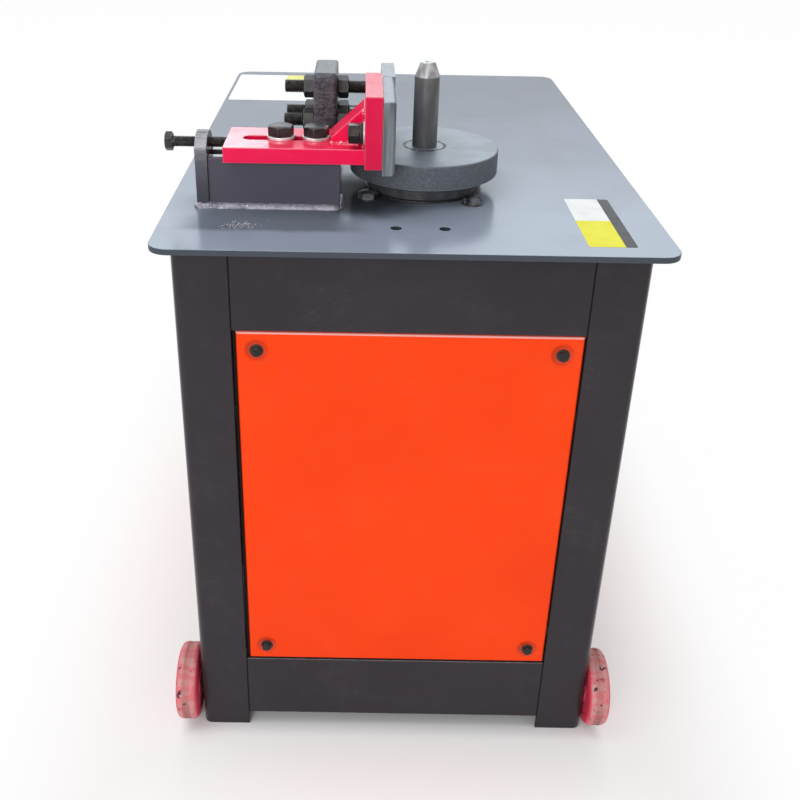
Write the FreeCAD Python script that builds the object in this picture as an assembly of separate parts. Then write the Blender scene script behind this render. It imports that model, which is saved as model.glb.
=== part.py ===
import FreeCAD
import Part
import math
import os

# Rebar bending machine, millimetres.
# Frame: +Z up, floor at z = 0, operator stands at -Y, origin on the floor in the middle of the outline.

# Table
table_width = 640.0
table_length = 992.0
table_thickness = 8.0
table_height = 803.0
table_corner_radius = 25.0
accessory_hole_radius = 7.0
accessory_hole_spacing = 61.5
accessory_hole_from_left = 330.0
accessory_hole_from_front = 85.0

# Welded body
overhang_left = 23.5
overhang_right = 28.1
overhang_end = 23.0
leg_width = 71.0
leg_sheet_thickness = 5.0
leg_bend_radius = 12.0
top_rail_height = 108.5
bottom_rail_height = 110.5
bottom_rail_above_floor = 25.4
rail_sheet_thickness = 4.0
rail_lip_width = 22.0

# Sheet covers and the tabs that hold them
cover_side_gap = 3.0
cover_top_gap = 2.3
cover_foot_gap = 1.0
front_cover_shift = 2.0
cover_sheet_thickness = 1.5
cover_depth = 11.0
cover_recess = 1.0
cover_edge_radius = 4.0
tab_inset = 25.0
tab_width = 40.0
tab_height = 30.0
tab_sheet_thickness = 4.0
tab_weld_width = 18.0

# Transport wheels at the operator's end
wheel_radius = 57.5
wheel_width = 32.0
wheel_from_front = 51.0
wheel_lift = 4.5
wheel_gap_left = 5.0
wheel_gap_right = 1.0
wheel_shoulder = 5.0
wheel_rim_radius = 42.0
wheel_recess = 8.0
axle_radius = 10.0
axle_running_gap = 0.05
axle_washer_radius = 15.0
axle_washer_thickness = 2.5
axle_nut_flats = 24.0
axle_nut_height = 5.0

# Spindle, disc and centre pin
spindle_from_left = 341.0
spindle_from_front = 260.0
disc_radius = 102.0
disc_thickness = 33.0
disc_above_table = 24.0
disc_chamfer = 1.5
shaft_radius = 28.0
shaft_collar_radius = 33.0
shaft_fit_gap = 0.05
shaft_length = 232.0
pin_radius = 17.0
pin_height = 113.3
pin_cone_height = 18.3
pin_tip_radius = 9.6
pin_shank_radius = 15.0
pin_shank_length = 33.0
pin_fit_gap = 0.05
working_socket_circle = 68.0
working_socket_turn = 86.4
working_socket_gap = 0.1
key_width = 14.0
key_height = 9.0
key_length = 26.0
bearing_cover_radius = 78.0
bearing_cover_to_disc = 2.0
bearing_cover_bore_gap = 1.0

# Geared motor under the table, closed and solid inside
flange_radius = 118.0
flange_thickness = 16.0
flange_bolt_circle_radius = 99.3
flange_bolt_count = 4
flange_bolt_turn = -50.7
flange_bolt_head_turn = 20.0
flange_bolt_radius = 8.0
flange_bolt_flats = 24.0
flange_bolt_head_height = 10.0
flange_bolt_gap = 0.2
housing_radius = 84.0
housing_length = 176.0
housing_bore_gap = 0.05
housing_bore_depth_gap = 1.0
motor_radius = 78.0
motor_length = 200.0
motor_fin_height = 11.0
motor_fin_thickness = 4.0
motor_fin_count = 20
fan_cowl_radius = 86.0
fan_cowl_length = 60.0
terminal_box_width = 96.0
terminal_box_height = 84.0
terminal_box_depth = 46.0
terminal_box_edge = 6.0

# Slotted slide block on the table
head_from_front = 180.0
block_from_left = 56.0
block_length = 171.0
block_width = 54.0
block_height = 66.0
slot_width = 21.0
slot_neck_depth = 16.0
t_slot_width = 36.0
t_slot_height = 18.0
t_nut_width = 34.0
t_nut_length = 40.0
t_nut_height = 14.0

# Screw upright and adjusting screw
upright_thickness = 16.0
upright_width = 60.0
upright_height = 94.5
upright_shoulder = 76.0
screw_above_table = 79.5
screw_radius = 7.0
screw_thread_gap = 0.1
screw_head_flats = 22.0
screw_head_height = 9.0
screw_head_turn = 90.0
screw_head_to_upright = 32.0
screw_journal_radius = 4.5
screw_journal_length = 9.0
screw_journal_gap = 0.1
screw_to_bar_gap = 0.3

# Sliding carriage: slotted bar, stop plate, gusset and wear plate
rebar_room_width = 28.0
bar_inset_length = 23.0
bar_width = 98.0
bar_thickness = 20.0
bar_slot_from_end = 21.0
bar_slot_length = 108.0
stop_plate_length = 140.0
stop_plate_thickness = 22.0
stop_plate_height = 91.0
gusset_width = 48.0
gusset_length = 43.0
gusset_height = 48.0
gusset_nose_height = 8.5
wear_plate_length = 142.0
wear_plate_thickness = 16.0
wear_plate_height = 93.0
wear_plate_chamfer = 3.0
wear_plate_above_disc = 1.6
wear_stud_spacing = 84.0
wear_stud_radius = 8.0
wear_stud_hole_radius = 8.5
wear_nut_flats = 24.0
wear_nut_height = 15.0
wear_washer_radius = 15.0
wear_washer_thickness = 6.0

# Clamp bolts through the bar into the T-slot
clamp_from_block_end = 93.5
clamp_spacing = 46.0
clamp_count = 2
clamp_radius = 10.0
clamp_flats = 30.0
clamp_head_height = 13.0
clamp_head_turn = 20.0
clamp_washer_radius = 18.0
clamp_washer_thickness = 4.0
clamp_nut_gap = 0.1
clamp_end_length = 2.0

# Rear post with its studs and stop plate
post_from_left = 188.0
post_from_front = 298.0
post_thickness = 32.0
post_width = 96.0
post_height = 155.0
post_edge_chamfer = 4.0
stud_radius = 9.0
stud_hole_radius = 9.5
stud_spacing = 50.0
stud_low_height = 87.0
stud_high_height = 127.0
stud_end_length = 26.0
stud_nut_flats = 27.0
stud_nut_height = 15.0
stud_nut_turn = 15.0
stud_nut_gap = 0.1
rear_stop_length = 90.0
rear_stop_thickness = 18.0
rear_stop_room_width = 26.0

# Push-button station on the right-hand top rail
station_from_front = 300.0
station_length = 122.0
station_height = 62.0
station_depth = 31.0
station_below_table = 24.0
station_edge = 4.0
button_spacing = 36.0
button_width = 24.0
button_gap = 0.4
button_proud_height = 6.0
button_travel = 4.0
button_length = 20.0
button_chamfer = 1.5

# Places worked out from the sizes above
body_width = table_width - overhang_left - overhang_right
body_x = body_width / 2
left_x = -body_x - overhang_left
right_x = left_x + table_width
wheel_poke = max(0.0, wheel_radius - wheel_from_front)
front_y = (wheel_poke - table_length) / 2
rear_y = front_y + table_length
middle_y = (front_y + rear_y) / 2
table_top = table_height
table_under = table_top - table_thickness
body_front = front_y + overhang_end
body_rear = rear_y - overhang_end
opening_top = table_under - top_rail_height
opening_bottom = bottom_rail_above_floor + bottom_rail_height

spindle_x = left_x + spindle_from_left
spindle_y = front_y + spindle_from_front
disc_under = table_top + disc_above_table
disc_top = disc_under + disc_thickness
shaft_end = disc_top - shaft_length
flange_under = table_under - flange_thickness
housing_end = flange_under - housing_length
motor_end = housing_end - motor_length
fan_cowl_end = motor_end - fan_cowl_length

head_y = front_y + head_from_front
block_x = left_x + block_from_left
block_end_x = block_x + block_length
bar_under = table_top + block_height
bar_top = bar_under + bar_thickness
screw_z = table_top + screw_above_table
wear_face_x = spindle_x - pin_radius - rebar_room_width
wear_back_x = wear_face_x - wear_plate_thickness
stop_back_x = wear_back_x - stop_plate_thickness
bar_x = block_x + bar_inset_length
wear_bottom = disc_top + wear_plate_above_disc
wear_stud_z = wear_bottom + wear_plate_height / 2
wear_stud_ys = [head_y + side * wear_stud_spacing / 2 for side in (-1, 1)]
clamp_xs = [block_x + clamp_from_block_end + i * clamp_spacing for i in range(clamp_count)]
clamp_seat = bar_top + clamp_washer_thickness
t_ceiling = bar_under - slot_neck_depth

post_x = left_x + post_from_left
post_end_x = post_x + post_thickness
post_y = front_y + post_from_front
rear_stop_face_x = spindle_x - pin_radius - rear_stop_room_width
rear_stop_back_x = rear_stop_face_x - rear_stop_thickness
stud_places = {
    "lower_front": (post_y - stud_spacing / 2, table_top + stud_low_height),
    "lower_rear": (post_y + stud_spacing / 2, table_top + stud_low_height),
    "upper": (post_y, table_top + stud_high_height),
}

wheel_y = front_y + wheel_from_front
wheel_z = wheel_radius + wheel_lift

station_y = front_y + station_from_front
station_z = table_under - station_below_table - station_height / 2
station_face_x = body_x + station_depth
button_ys = {
    "forward_button": station_y - button_spacing,
    "stop_button": station_y,
    "reverse_button": station_y + button_spacing,
}

X_AXIS = FreeCAD.Vector(1, 0, 0)
Y_AXIS = FreeCAD.Vector(0, 1, 0)
Z_AXIS = FreeCAD.Vector(0, 0, 1)


def near(a, b):
    return abs(a - b) < 1e-6


def point(x, y, z):
    return FreeCAD.Vector(x, y, z)


def block(x0, x1, y0, y1, z0, z1):
    """Box between two corners."""
    return Part.makeBox(x1 - x0, y1 - y0, z1 - z0, point(x0, y0, z0))


def rod(radius, start, direction, length):
    return Part.makeCylinder(radius, length, start, direction)


def polygon(points):
    return Part.makePolygon(points + [points[0]])


def prism(points, path):
    """Flat outline pushed along a vector."""
    return Part.Face(polygon(points)).extrude(path)


def hexagon(flats, start, direction, height, turn=0.0):
    """Hexagonal prism with one axis along a main direction; turn rotates it about that axis."""
    corner = flats / math.sqrt(3)
    side = Y_AXIS if abs(direction.x) > 0.5 else X_AXIS
    other = direction.cross(side)
    points = []
    for i in range(6):
        angle = math.radians(turn + 60 * i)
        points.append(start + side * (corner * math.cos(angle)) + other * (corner * math.sin(angle)))
    return prism(points, direction * height)


def turned(profile, x, y):
    """Solid of revolution about a vertical axis; the profile is (radius, height) pairs."""
    points = [point(x + radius, y, z) for radius, z in profile]
    return Part.Face(polygon(points)).revolve(point(x, y, 0), Z_AXIS, 360)


def turned_on_x(profile, y, z):
    """Solid of revolution about an axis along X; the profile is (radius, x) pairs."""
    points = [point(x, y, z + radius) for radius, x in profile]
    return Part.Face(polygon(points)).revolve(point(0, y, z), X_AXIS, 360)


def ring(outer, inner, z0, z1, x, y):
    return turned([(inner, z0), (outer, z0), (outer, z1), (inner, z1)], x, y)


def straight_edges(shape, direction, test=None):
    """Straight edges along a direction, filtered by a test on their middle point."""
    found = []
    for edge in shape.Edges:
        if len(edge.Vertexes) != 2:
            continue
        run = edge.Vertexes[1].Point - edge.Vertexes[0].Point
        middle = (edge.Vertexes[1].Point + edge.Vertexes[0].Point) * 0.5
        if run.cross(direction).Length < 1e-6 * run.Length and (test is None or test(middle)):
            found.append(edge)
    return found


def edges_at(shape, axis, value):
    """Edges that lie in a plane square to a main axis, named by its letter."""
    return [edge for edge in shape.Edges if all(near(getattr(v.Point, axis), value) for v in edge.Vertexes)]


def polar(count, centre, start=0.0, radius=0.0):
    """Points spread round a circle, with the angle of each in degrees."""
    places = []
    for i in range(count):
        angle = start + 360.0 * i / count
        x = centre.x + radius * math.cos(math.radians(angle))
        y = centre.y + radius * math.sin(math.radians(angle))
        places.append((x, y, angle))
    return places


def mirrored(shape, normal):
    return shape.mirror(point(0, 0 if normal is X_AXIS else middle_y, 0), normal)


# Table
flange_bolt_places = polar(flange_bolt_count, point(spindle_x, spindle_y, 0), flange_bolt_turn,
                           flange_bolt_circle_radius)


def make_table_plate():
    plate = block(left_x, right_x, front_y, rear_y, table_under, table_top)
    plate = plate.makeFillet(table_corner_radius, straight_edges(plate, Z_AXIS))
    holes = [(shaft_collar_radius + bearing_cover_bore_gap, spindle_x, spindle_y)]
    holes += [(flange_bolt_radius + flange_bolt_gap, x, y) for x, y, _ in flange_bolt_places]
    for side in (-1, 1):
        x = left_x + accessory_hole_from_left + side * accessory_hole_spacing / 2
        holes.append((accessory_hole_radius, x, front_y + accessory_hole_from_front))
    return plate.cut(Part.makeCompound(
        [rod(radius, point(x, y, table_under), Z_AXIS, table_thickness) for radius, x, y in holes]))


# Body
def make_leg():
    """Front left leg: a sheet angle with a rounded outer corner."""
    x0 = -body_x
    y0 = body_front
    x1 = x0 + leg_sheet_thickness
    y1 = y0 + leg_sheet_thickness
    outline = [(x0, y0), (x0 + leg_width, y0), (x0 + leg_width, y1), (x1, y1), (x1, y0 + leg_width),
               (x0, y0 + leg_width)]
    angle = prism([point(x, y, 0) for x, y in outline], Z_AXIS * table_under)
    outer = straight_edges(angle, Z_AXIS, lambda p: near(p.x, x0) and near(p.y, y0))
    angle = angle.makeFillet(leg_bend_radius, outer)
    inner = straight_edges(angle, Z_AXIS, lambda p: near(p.x, x1) and near(p.y, y1))
    return angle.makeFillet(leg_bend_radius - leg_sheet_thickness, inner)


def rail_profile(z0, z1, lip_low, lip_high):
    """Rail section as (depth, height) pairs: a web with a lip folded inwards at one or both edges."""
    sheet = rail_sheet_thickness
    points = [(0, z0)]
    if lip_low:
        points += [(rail_lip_width, z0), (rail_lip_width, z0 + sheet), (sheet, z0 + sheet)]
    else:
        points += [(sheet, z0)]
    if lip_high:
        points += [(sheet, z1 - sheet), (rail_lip_width, z1 - sheet), (rail_lip_width, z1)]
    else:
        points += [(sheet, z1)]
    return points + [(0, z1)]


def make_rails(profile):
    """Four rails of one section between the legs."""
    end_width = body_width - 2 * leg_width
    side_length = body_rear - body_front - 2 * leg_width
    front = prism([point(-end_width / 2, body_front + d, z) for d, z in profile], X_AXIS * end_width)
    left = prism([point(-body_x + d, body_front + leg_width, z) for d, z in profile], Y_AXIS * side_length)
    return [front, mirrored(front, Y_AXIS), left, mirrored(left, X_AXIS)]


# Covers
cover_end_width = body_width - 2 * leg_width - 2 * cover_side_gap
cover_side_width = body_rear - body_front - 2 * leg_width - 2 * cover_side_gap
cover_foot = opening_bottom + cover_foot_gap
cover_height = opening_top - cover_top_gap - cover_foot


def make_cover(width):
    """Sheet tray seen from outside: its face at y = 0, foot at z = 0, folded edges behind."""
    x = width / 2
    tray = block(-x, x, 0, cover_depth, 0, cover_height)
    tray = tray.makeFillet(cover_edge_radius, edges_at(tray, "y", 0))
    sheet = cover_sheet_thickness
    hollow = block(-x + sheet, x - sheet, sheet, cover_depth, sheet, cover_height - sheet)
    hollow = hollow.makeFillet(cover_edge_radius - sheet, edges_at(hollow, "y", sheet))
    return tray.cut(hollow)


def make_end_cover(shift):
    """Cover of the operator's end, hung off the opening's middle by a shift to the right."""
    cover = make_cover(cover_end_width)
    cover.translate(point(shift, body_front + cover_recess, cover_foot))
    return cover


def make_side_cover():
    cover = make_cover(cover_side_width)
    cover.rotate(point(0, 0, 0), Z_AXIS, -90)
    cover.translate(point(-body_x + cover_recess, middle_y, cover_foot))
    return cover


def make_tab():
    """Stepped tab welded behind a leg on its left; its middle at x = 0, z = 0, the leg's skin at y = 0."""
    leg_edge = -tab_inset
    cover_back = cover_recess + cover_depth
    weld_end = leg_edge - tab_weld_width
    pad_end = leg_edge - cover_side_gap
    tab_back = cover_back + tab_sheet_thickness
    outline = [(weld_end, leg_sheet_thickness), (pad_end, leg_sheet_thickness), (pad_end, cover_back),
               (tab_width / 2, cover_back), (tab_width / 2, tab_back), (weld_end, tab_back)]
    return prism([point(x, y, -tab_height / 2) for x, y in outline], Z_AXIS * tab_height)


def make_tabs():
    """Four tabs behind each of the four covers."""
    tabs = []
    heights = (opening_bottom + tab_inset, opening_top - tab_inset)
    end_reach = body_x - leg_width - tab_inset
    side_reach = (body_rear - body_front) / 2 - leg_width - tab_inset
    for z in heights:
        end_tab = make_tab()
        end_tab.translate(point(-end_reach, body_front, z))
        side_tab = make_tab()
        side_tab.rotate(point(0, 0, 0), Z_AXIS, -90)
        side_tab.translate(point(-body_x, middle_y + side_reach, z))
        for tab in (end_tab, side_tab):
            pair = [tab, mirrored(tab, X_AXIS)]
            tabs += pair + [mirrored(piece, Y_AXIS) for piece in pair]
    return tabs


# Wheels, made on the left and mirrored
def make_wheel(gap):
    """Wheel at a gap from the body, with a chamfered shoulder and a recessed web on its outer side."""
    bore = axle_radius + axle_running_gap
    inner_x = -body_x - gap
    outer_x = inner_x - wheel_width
    web_x = outer_x + wheel_recess
    profile = [(bore, web_x), (wheel_rim_radius, web_x), (wheel_rim_radius, outer_x),
               (wheel_radius - wheel_shoulder, outer_x), (wheel_radius, outer_x + wheel_shoulder),
               (wheel_radius, inner_x), (bore, inner_x)]
    return turned_on_x(profile, wheel_y, wheel_z)


def make_axle(gap):
    """Stub axle welded to the leg, with the washer and nut that keep the wheel on."""
    web_x = -body_x - gap - wheel_width + wheel_recess
    washer_x = web_x - axle_washer_thickness
    nut_x = washer_x - axle_nut_height
    axle = turned_on_x([(0, -body_x), (axle_radius, -body_x), (axle_radius, web_x),
                        (axle_washer_radius, web_x), (axle_washer_radius, washer_x), (0, washer_x)],
                       wheel_y, wheel_z)
    return axle.fuse(hexagon(axle_nut_flats, point(nut_x, wheel_y, wheel_z), X_AXIS, axle_nut_height))


# Spindle
def key_box():
    """Feather key on the shaft's rear side, under the disc's face."""
    y0 = spindle_y + shaft_radius - key_height / 2
    return block(spindle_x - key_width / 2, spindle_x + key_width / 2, y0, y0 + key_height, disc_under,
                 disc_under + key_length)


def make_work_disc():
    """Disc on the shaft's collar, with a keyway and a socket for the working pin."""
    bore = shaft_radius + shaft_fit_gap
    disc = turned([(bore, disc_under), (disc_radius, disc_under), (disc_radius, disc_top - disc_chamfer),
                   (disc_radius - disc_chamfer, disc_top), (bore, disc_top)], spindle_x, spindle_y)
    turn = math.radians(working_socket_turn)
    socket_foot = point(spindle_x + working_socket_circle * math.cos(turn),
                        spindle_y + working_socket_circle * math.sin(turn), disc_under)
    socket = rod(pin_shank_radius + working_socket_gap, socket_foot, Z_AXIS, disc_thickness)
    return disc.cut(socket).cut(key_box())


def make_main_shaft():
    """Output shaft of the gearbox: a journal that is the disc's seat, and a socket for the centre pin."""
    shaft = turned([(0, shaft_end), (shaft_collar_radius, shaft_end), (shaft_collar_radius, disc_under),
                    (shaft_radius, disc_under), (shaft_radius, disc_top), (0, disc_top)],
                   spindle_x, spindle_y)
    socket_foot = point(spindle_x, spindle_y, disc_top - pin_shank_length)
    socket = rod(pin_shank_radius + pin_fit_gap, socket_foot, Z_AXIS, pin_shank_length)
    return shaft.cut(socket).cut(key_box())


def make_centre_pin():
    top = disc_top + pin_height
    return turned([(0, disc_top - pin_shank_length), (pin_shank_radius, disc_top - pin_shank_length),
                   (pin_shank_radius, disc_top), (pin_radius, disc_top), (pin_radius, top - pin_cone_height),
                   (pin_tip_radius, top), (0, top)], spindle_x, spindle_y)


def make_bearing_cover():
    """Dust ring round the shaft's collar, standing on the table under the disc."""
    bore = shaft_collar_radius + bearing_cover_bore_gap
    top = disc_under - bearing_cover_to_disc
    return ring(bearing_cover_radius, bore, table_top, top, spindle_x, spindle_y)


# Geared motor
def make_flange_bolts():
    """Hexagon bolts on the table's face, screwed into the gear housing's flange."""
    bolts = []
    length = table_thickness + flange_thickness
    for x, y, angle in flange_bolt_places:
        head = hexagon(flange_bolt_flats, point(x, y, table_top), Z_AXIS, flange_bolt_head_height,
                       angle + flange_bolt_head_turn)
        bolts.append(head.fuse(rod(flange_bolt_radius, point(x, y, table_top - length), Z_AXIS, length)))
    return bolts


def make_gear_housing():
    """Flanged gear housing under the table, with the blind bore that carries the output shaft."""
    bore = shaft_collar_radius + housing_bore_gap
    bore_end = shaft_end - housing_bore_depth_gap
    housing = turned([(0, housing_end), (housing_radius, housing_end), (housing_radius, flange_under),
                      (flange_radius, flange_under), (flange_radius, table_under), (bore, table_under),
                      (bore, bore_end), (0, bore_end)], spindle_x, spindle_y)
    holes = [rod(flange_bolt_radius, point(x, y, flange_under), Z_AXIS, flange_thickness)
             for x, y, _ in flange_bolt_places]
    return housing.cut(Part.makeCompound(holes))


def make_motor_frame():
    """Extruded motor frame with straight cooling fins round it."""
    half = motor_fin_thickness / 2
    root = math.sqrt(motor_radius ** 2 - half ** 2)
    tip = motor_radius + motor_fin_height
    outline = []
    for _, _, angle in polar(motor_fin_count, point(0, 0, 0)):
        along = point(math.cos(math.radians(angle)), math.sin(math.radians(angle)), 0)
        across = point(-along.y, along.x, 0)
        foot = point(spindle_x, spindle_y, motor_end)
        outline += [foot + along * root - across * half, foot + along * tip - across * half,
                    foot + along * tip + across * half, foot + along * root + across * half]
    return prism(outline, Z_AXIS * motor_length)


def make_fan_cowl():
    """Closed cowl on the motor's fan end."""
    return rod(fan_cowl_radius, point(spindle_x, spindle_y, fan_cowl_end), Z_AXIS, fan_cowl_length)


def make_terminal_box():
    """Cable box on the motor's side, against the fins."""
    x0 = spindle_x + motor_radius + motor_fin_height
    z1 = housing_end - motor_fin_height
    box = block(x0, x0 + terminal_box_depth, spindle_y - terminal_box_width / 2,
                spindle_y + terminal_box_width / 2, z1 - terminal_box_height, z1)
    return box.makeFillet(terminal_box_edge, straight_edges(box, X_AXIS))


# Head: block, upright, screw
def t_slot_channel():
    """T-shaped channel through the block, open at its top."""
    floor = t_ceiling - t_slot_height
    neck = slot_width / 2
    wide = t_slot_width / 2
    points = [(-wide, floor), (wide, floor), (wide, t_ceiling), (neck, t_ceiling), (neck, bar_under),
              (-neck, bar_under), (-neck, t_ceiling), (-wide, t_ceiling)]
    return prism([point(block_x, head_y + y, z) for y, z in points], X_AXIS * block_length)


def make_slide_block():
    half = block_width / 2
    body = block(block_x, block_end_x, head_y - half, head_y + half, table_top, bar_under)
    return body.cut(t_slot_channel())


def make_screw_upright():
    """Arched plate at the block's outer end, threaded for the adjusting screw."""
    x0 = block_x - upright_thickness
    y0 = head_y - upright_width / 2
    y1 = head_y + upright_width / 2
    shoulder = table_top + upright_shoulder
    crown = point(x0, head_y, table_top + upright_height)
    arch = Part.Arc(point(x0, y0, shoulder), crown, point(x0, y1, shoulder)).toShape()
    sides = Part.makePolygon([point(x0, y1, shoulder), point(x0, y1, table_top), point(x0, y0, table_top),
                              point(x0, y0, shoulder)])
    plate = Part.Face(Part.Wire([arch] + sides.Edges)).extrude(X_AXIS * upright_thickness)
    hole = rod(screw_radius + screw_thread_gap, point(x0, head_y, screw_z), X_AXIS, upright_thickness)
    return plate.cut(hole)


def make_adjusting_screw():
    """Hexagon screw whose journal turns in the end of the bar."""
    under_head = block_x - upright_thickness - screw_head_to_upright
    thread_end = bar_x - screw_to_bar_gap
    head = hexagon(screw_head_flats, point(under_head - screw_head_height, head_y, screw_z), X_AXIS,
                   screw_head_height, screw_head_turn)
    thread = rod(screw_radius, point(under_head, head_y, screw_z), X_AXIS, thread_end - under_head)
    journal = rod(screw_journal_radius, point(thread_end, head_y, screw_z), X_AXIS,
                  screw_journal_length + screw_to_bar_gap)
    return head.fuse(thread).fuse(journal)


# Carriage
def make_slide_bar():
    bar = block(bar_x, stop_back_x, head_y - bar_width / 2, head_y + bar_width / 2, bar_under, bar_top)
    half = slot_width / 2
    slot_start = bar_x + bar_slot_from_end + half
    slot_end = bar_x + bar_slot_from_end + bar_slot_length - half
    slot = block(slot_start, slot_end, head_y - half, head_y + half, bar_under, bar_top)
    for x in (slot_start, slot_end):
        slot = slot.fuse(rod(half, point(x, head_y, bar_under), Z_AXIS, bar_thickness))
    socket = rod(screw_journal_radius + screw_journal_gap, point(bar_x, head_y, screw_z), X_AXIS,
                 screw_journal_length + screw_to_bar_gap)
    return bar.cut(slot).cut(socket)


def make_stop_plate():
    plate = block(stop_back_x, wear_back_x, head_y - stop_plate_length / 2, head_y + stop_plate_length / 2,
                  bar_under, bar_under + stop_plate_height)
    holes = [rod(wear_stud_hole_radius, point(stop_back_x, y, wear_stud_z), X_AXIS, stop_plate_thickness)
             for y in wear_stud_ys]
    return plate.cut(Part.makeCompound(holes))


def make_gusset():
    """Wedge on the bar behind the stop plate."""
    side_y = head_y - gusset_width / 2
    x0 = stop_back_x - gusset_length
    return prism([point(x0, side_y, bar_top), point(stop_back_x, side_y, bar_top),
                  point(stop_back_x, side_y, bar_top + gusset_height),
                  point(x0, side_y, bar_top + gusset_nose_height)], Y_AXIS * gusset_width)


def stop_face_block(x0, x1, y, length):
    """Upright plate of the height that both stop faces share."""
    return block(x0, x1, y - length / 2, y + length / 2, wear_bottom, wear_bottom + wear_plate_height)


def make_wear_plate():
    """Hardened plate with all four edges of its face chamfered."""
    plate = stop_face_block(wear_back_x, wear_face_x, head_y, wear_plate_length)
    return plate.makeChamfer(wear_plate_chamfer, edges_at(plate, "x", wear_face_x))


def make_wear_fixings():
    """Studs set in the wear plate's back, each with the thick washer and nut that hold it."""
    washer_x = stop_back_x - wear_washer_thickness
    nut_x = washer_x - wear_nut_height
    fixings = []
    for y in wear_stud_ys:
        stud = rod(wear_stud_radius, point(washer_x, y, wear_stud_z), X_AXIS, wear_back_x - washer_x)
        washer = rod(wear_washer_radius, point(washer_x, y, wear_stud_z), X_AXIS, wear_washer_thickness)
        nut = hexagon(wear_nut_flats, point(nut_x, y, wear_stud_z), X_AXIS, wear_nut_height)
        fixings.append(stud.fuse(nut).fuse(washer))
    return fixings


# Clamp bolts
def make_clamp_bolt(x):
    """Hexagon bolt with its washer, down through the bar's slot into a T-nut."""
    end = t_ceiling - t_nut_height - clamp_end_length
    head = hexagon(clamp_flats, point(x, head_y, clamp_seat), Z_AXIS, clamp_head_height, clamp_head_turn)
    washer = rod(clamp_washer_radius, point(x, head_y, bar_top), Z_AXIS, clamp_washer_thickness)
    shank = rod(clamp_radius, point(x, head_y, end), Z_AXIS, bar_top - end)
    return head.fuse(washer).fuse(shank)


def make_t_nuts():
    floor = t_ceiling - t_nut_height
    half = t_nut_width / 2
    nuts = []
    for x in clamp_xs:
        x0 = x - t_nut_length / 2
        nut = block(x0, x0 + t_nut_length, head_y - half, head_y + half, floor, t_ceiling)
        bore = rod(clamp_radius + clamp_nut_gap, point(x, head_y, floor), Z_AXIS, t_nut_height)
        nuts.append(nut.cut(bore))
    return nuts


# Rear post
def make_rear_post():
    """Forged post with broken edges, bored for three studs."""
    half = post_width / 2
    post = block(post_x, post_end_x, post_y - half, post_y + half, table_top, table_top + post_height)
    foot = edges_at(post, "z", table_top)
    edges = [edge for edge in post.Edges if not any(edge.isSame(other) for other in foot)]
    post = post.makeChamfer(post_edge_chamfer, edges)
    holes = [rod(stud_hole_radius, point(post_x, y, z), X_AXIS, post_thickness)
             for y, z in stud_places.values()]
    return post.cut(Part.makeCompound(holes))


def make_stop_studs():
    """Studs from behind the outer nuts to the rear stop plate's back, where they are welded on."""
    start = post_x - stud_nut_height - stud_end_length
    return [rod(stud_radius, point(start, y, z), X_AXIS, rear_stop_back_x - start)
            for y, z in stud_places.values()]


def make_stud_nuts(place):
    """The two nuts of one stud, one on either side of the post."""
    y, z = place
    nuts = []
    for x in (post_x - stud_nut_height, post_end_x):
        nut = hexagon(stud_nut_flats, point(x, y, z), X_AXIS, stud_nut_height, stud_nut_turn)
        nuts.append(nut.cut(rod(stud_radius + stud_nut_gap, point(x, y, z), X_AXIS, stud_nut_height)))
    return nuts


def make_rear_stop_plate():
    return stop_face_block(rear_stop_back_x, rear_stop_face_x, post_y, rear_stop_length)


# Push-button station
def button_box(y, half, x0, x1):
    return block(x0, x1, y - half, y + half, station_z - half, station_z + half)


def make_station():
    """Switch box with three square wells for its buttons."""
    box = block(body_x, station_face_x, station_y - station_length / 2, station_y + station_length / 2,
                station_z - station_height / 2, station_z + station_height / 2)
    box = box.makeFillet(station_edge, straight_edges(box, X_AXIS))
    well_floor = station_face_x + button_proud_height - button_length - button_travel
    half = button_width / 2 + button_gap
    wells = [button_box(y, half, well_floor, station_face_x) for y in button_ys.values()]
    return box.cut(Part.makeCompound(wells))


def make_button(y):
    cap_x = station_face_x + button_proud_height
    cap = button_box(y, button_width / 2, cap_x - button_length, cap_x)
    return cap.makeChamfer(button_chamfer, edges_at(cap, "x", cap_x))


# All pieces by name
leg = make_leg()
leg_right = mirrored(leg, X_AXIS)
side_cover = make_side_cover()

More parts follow.
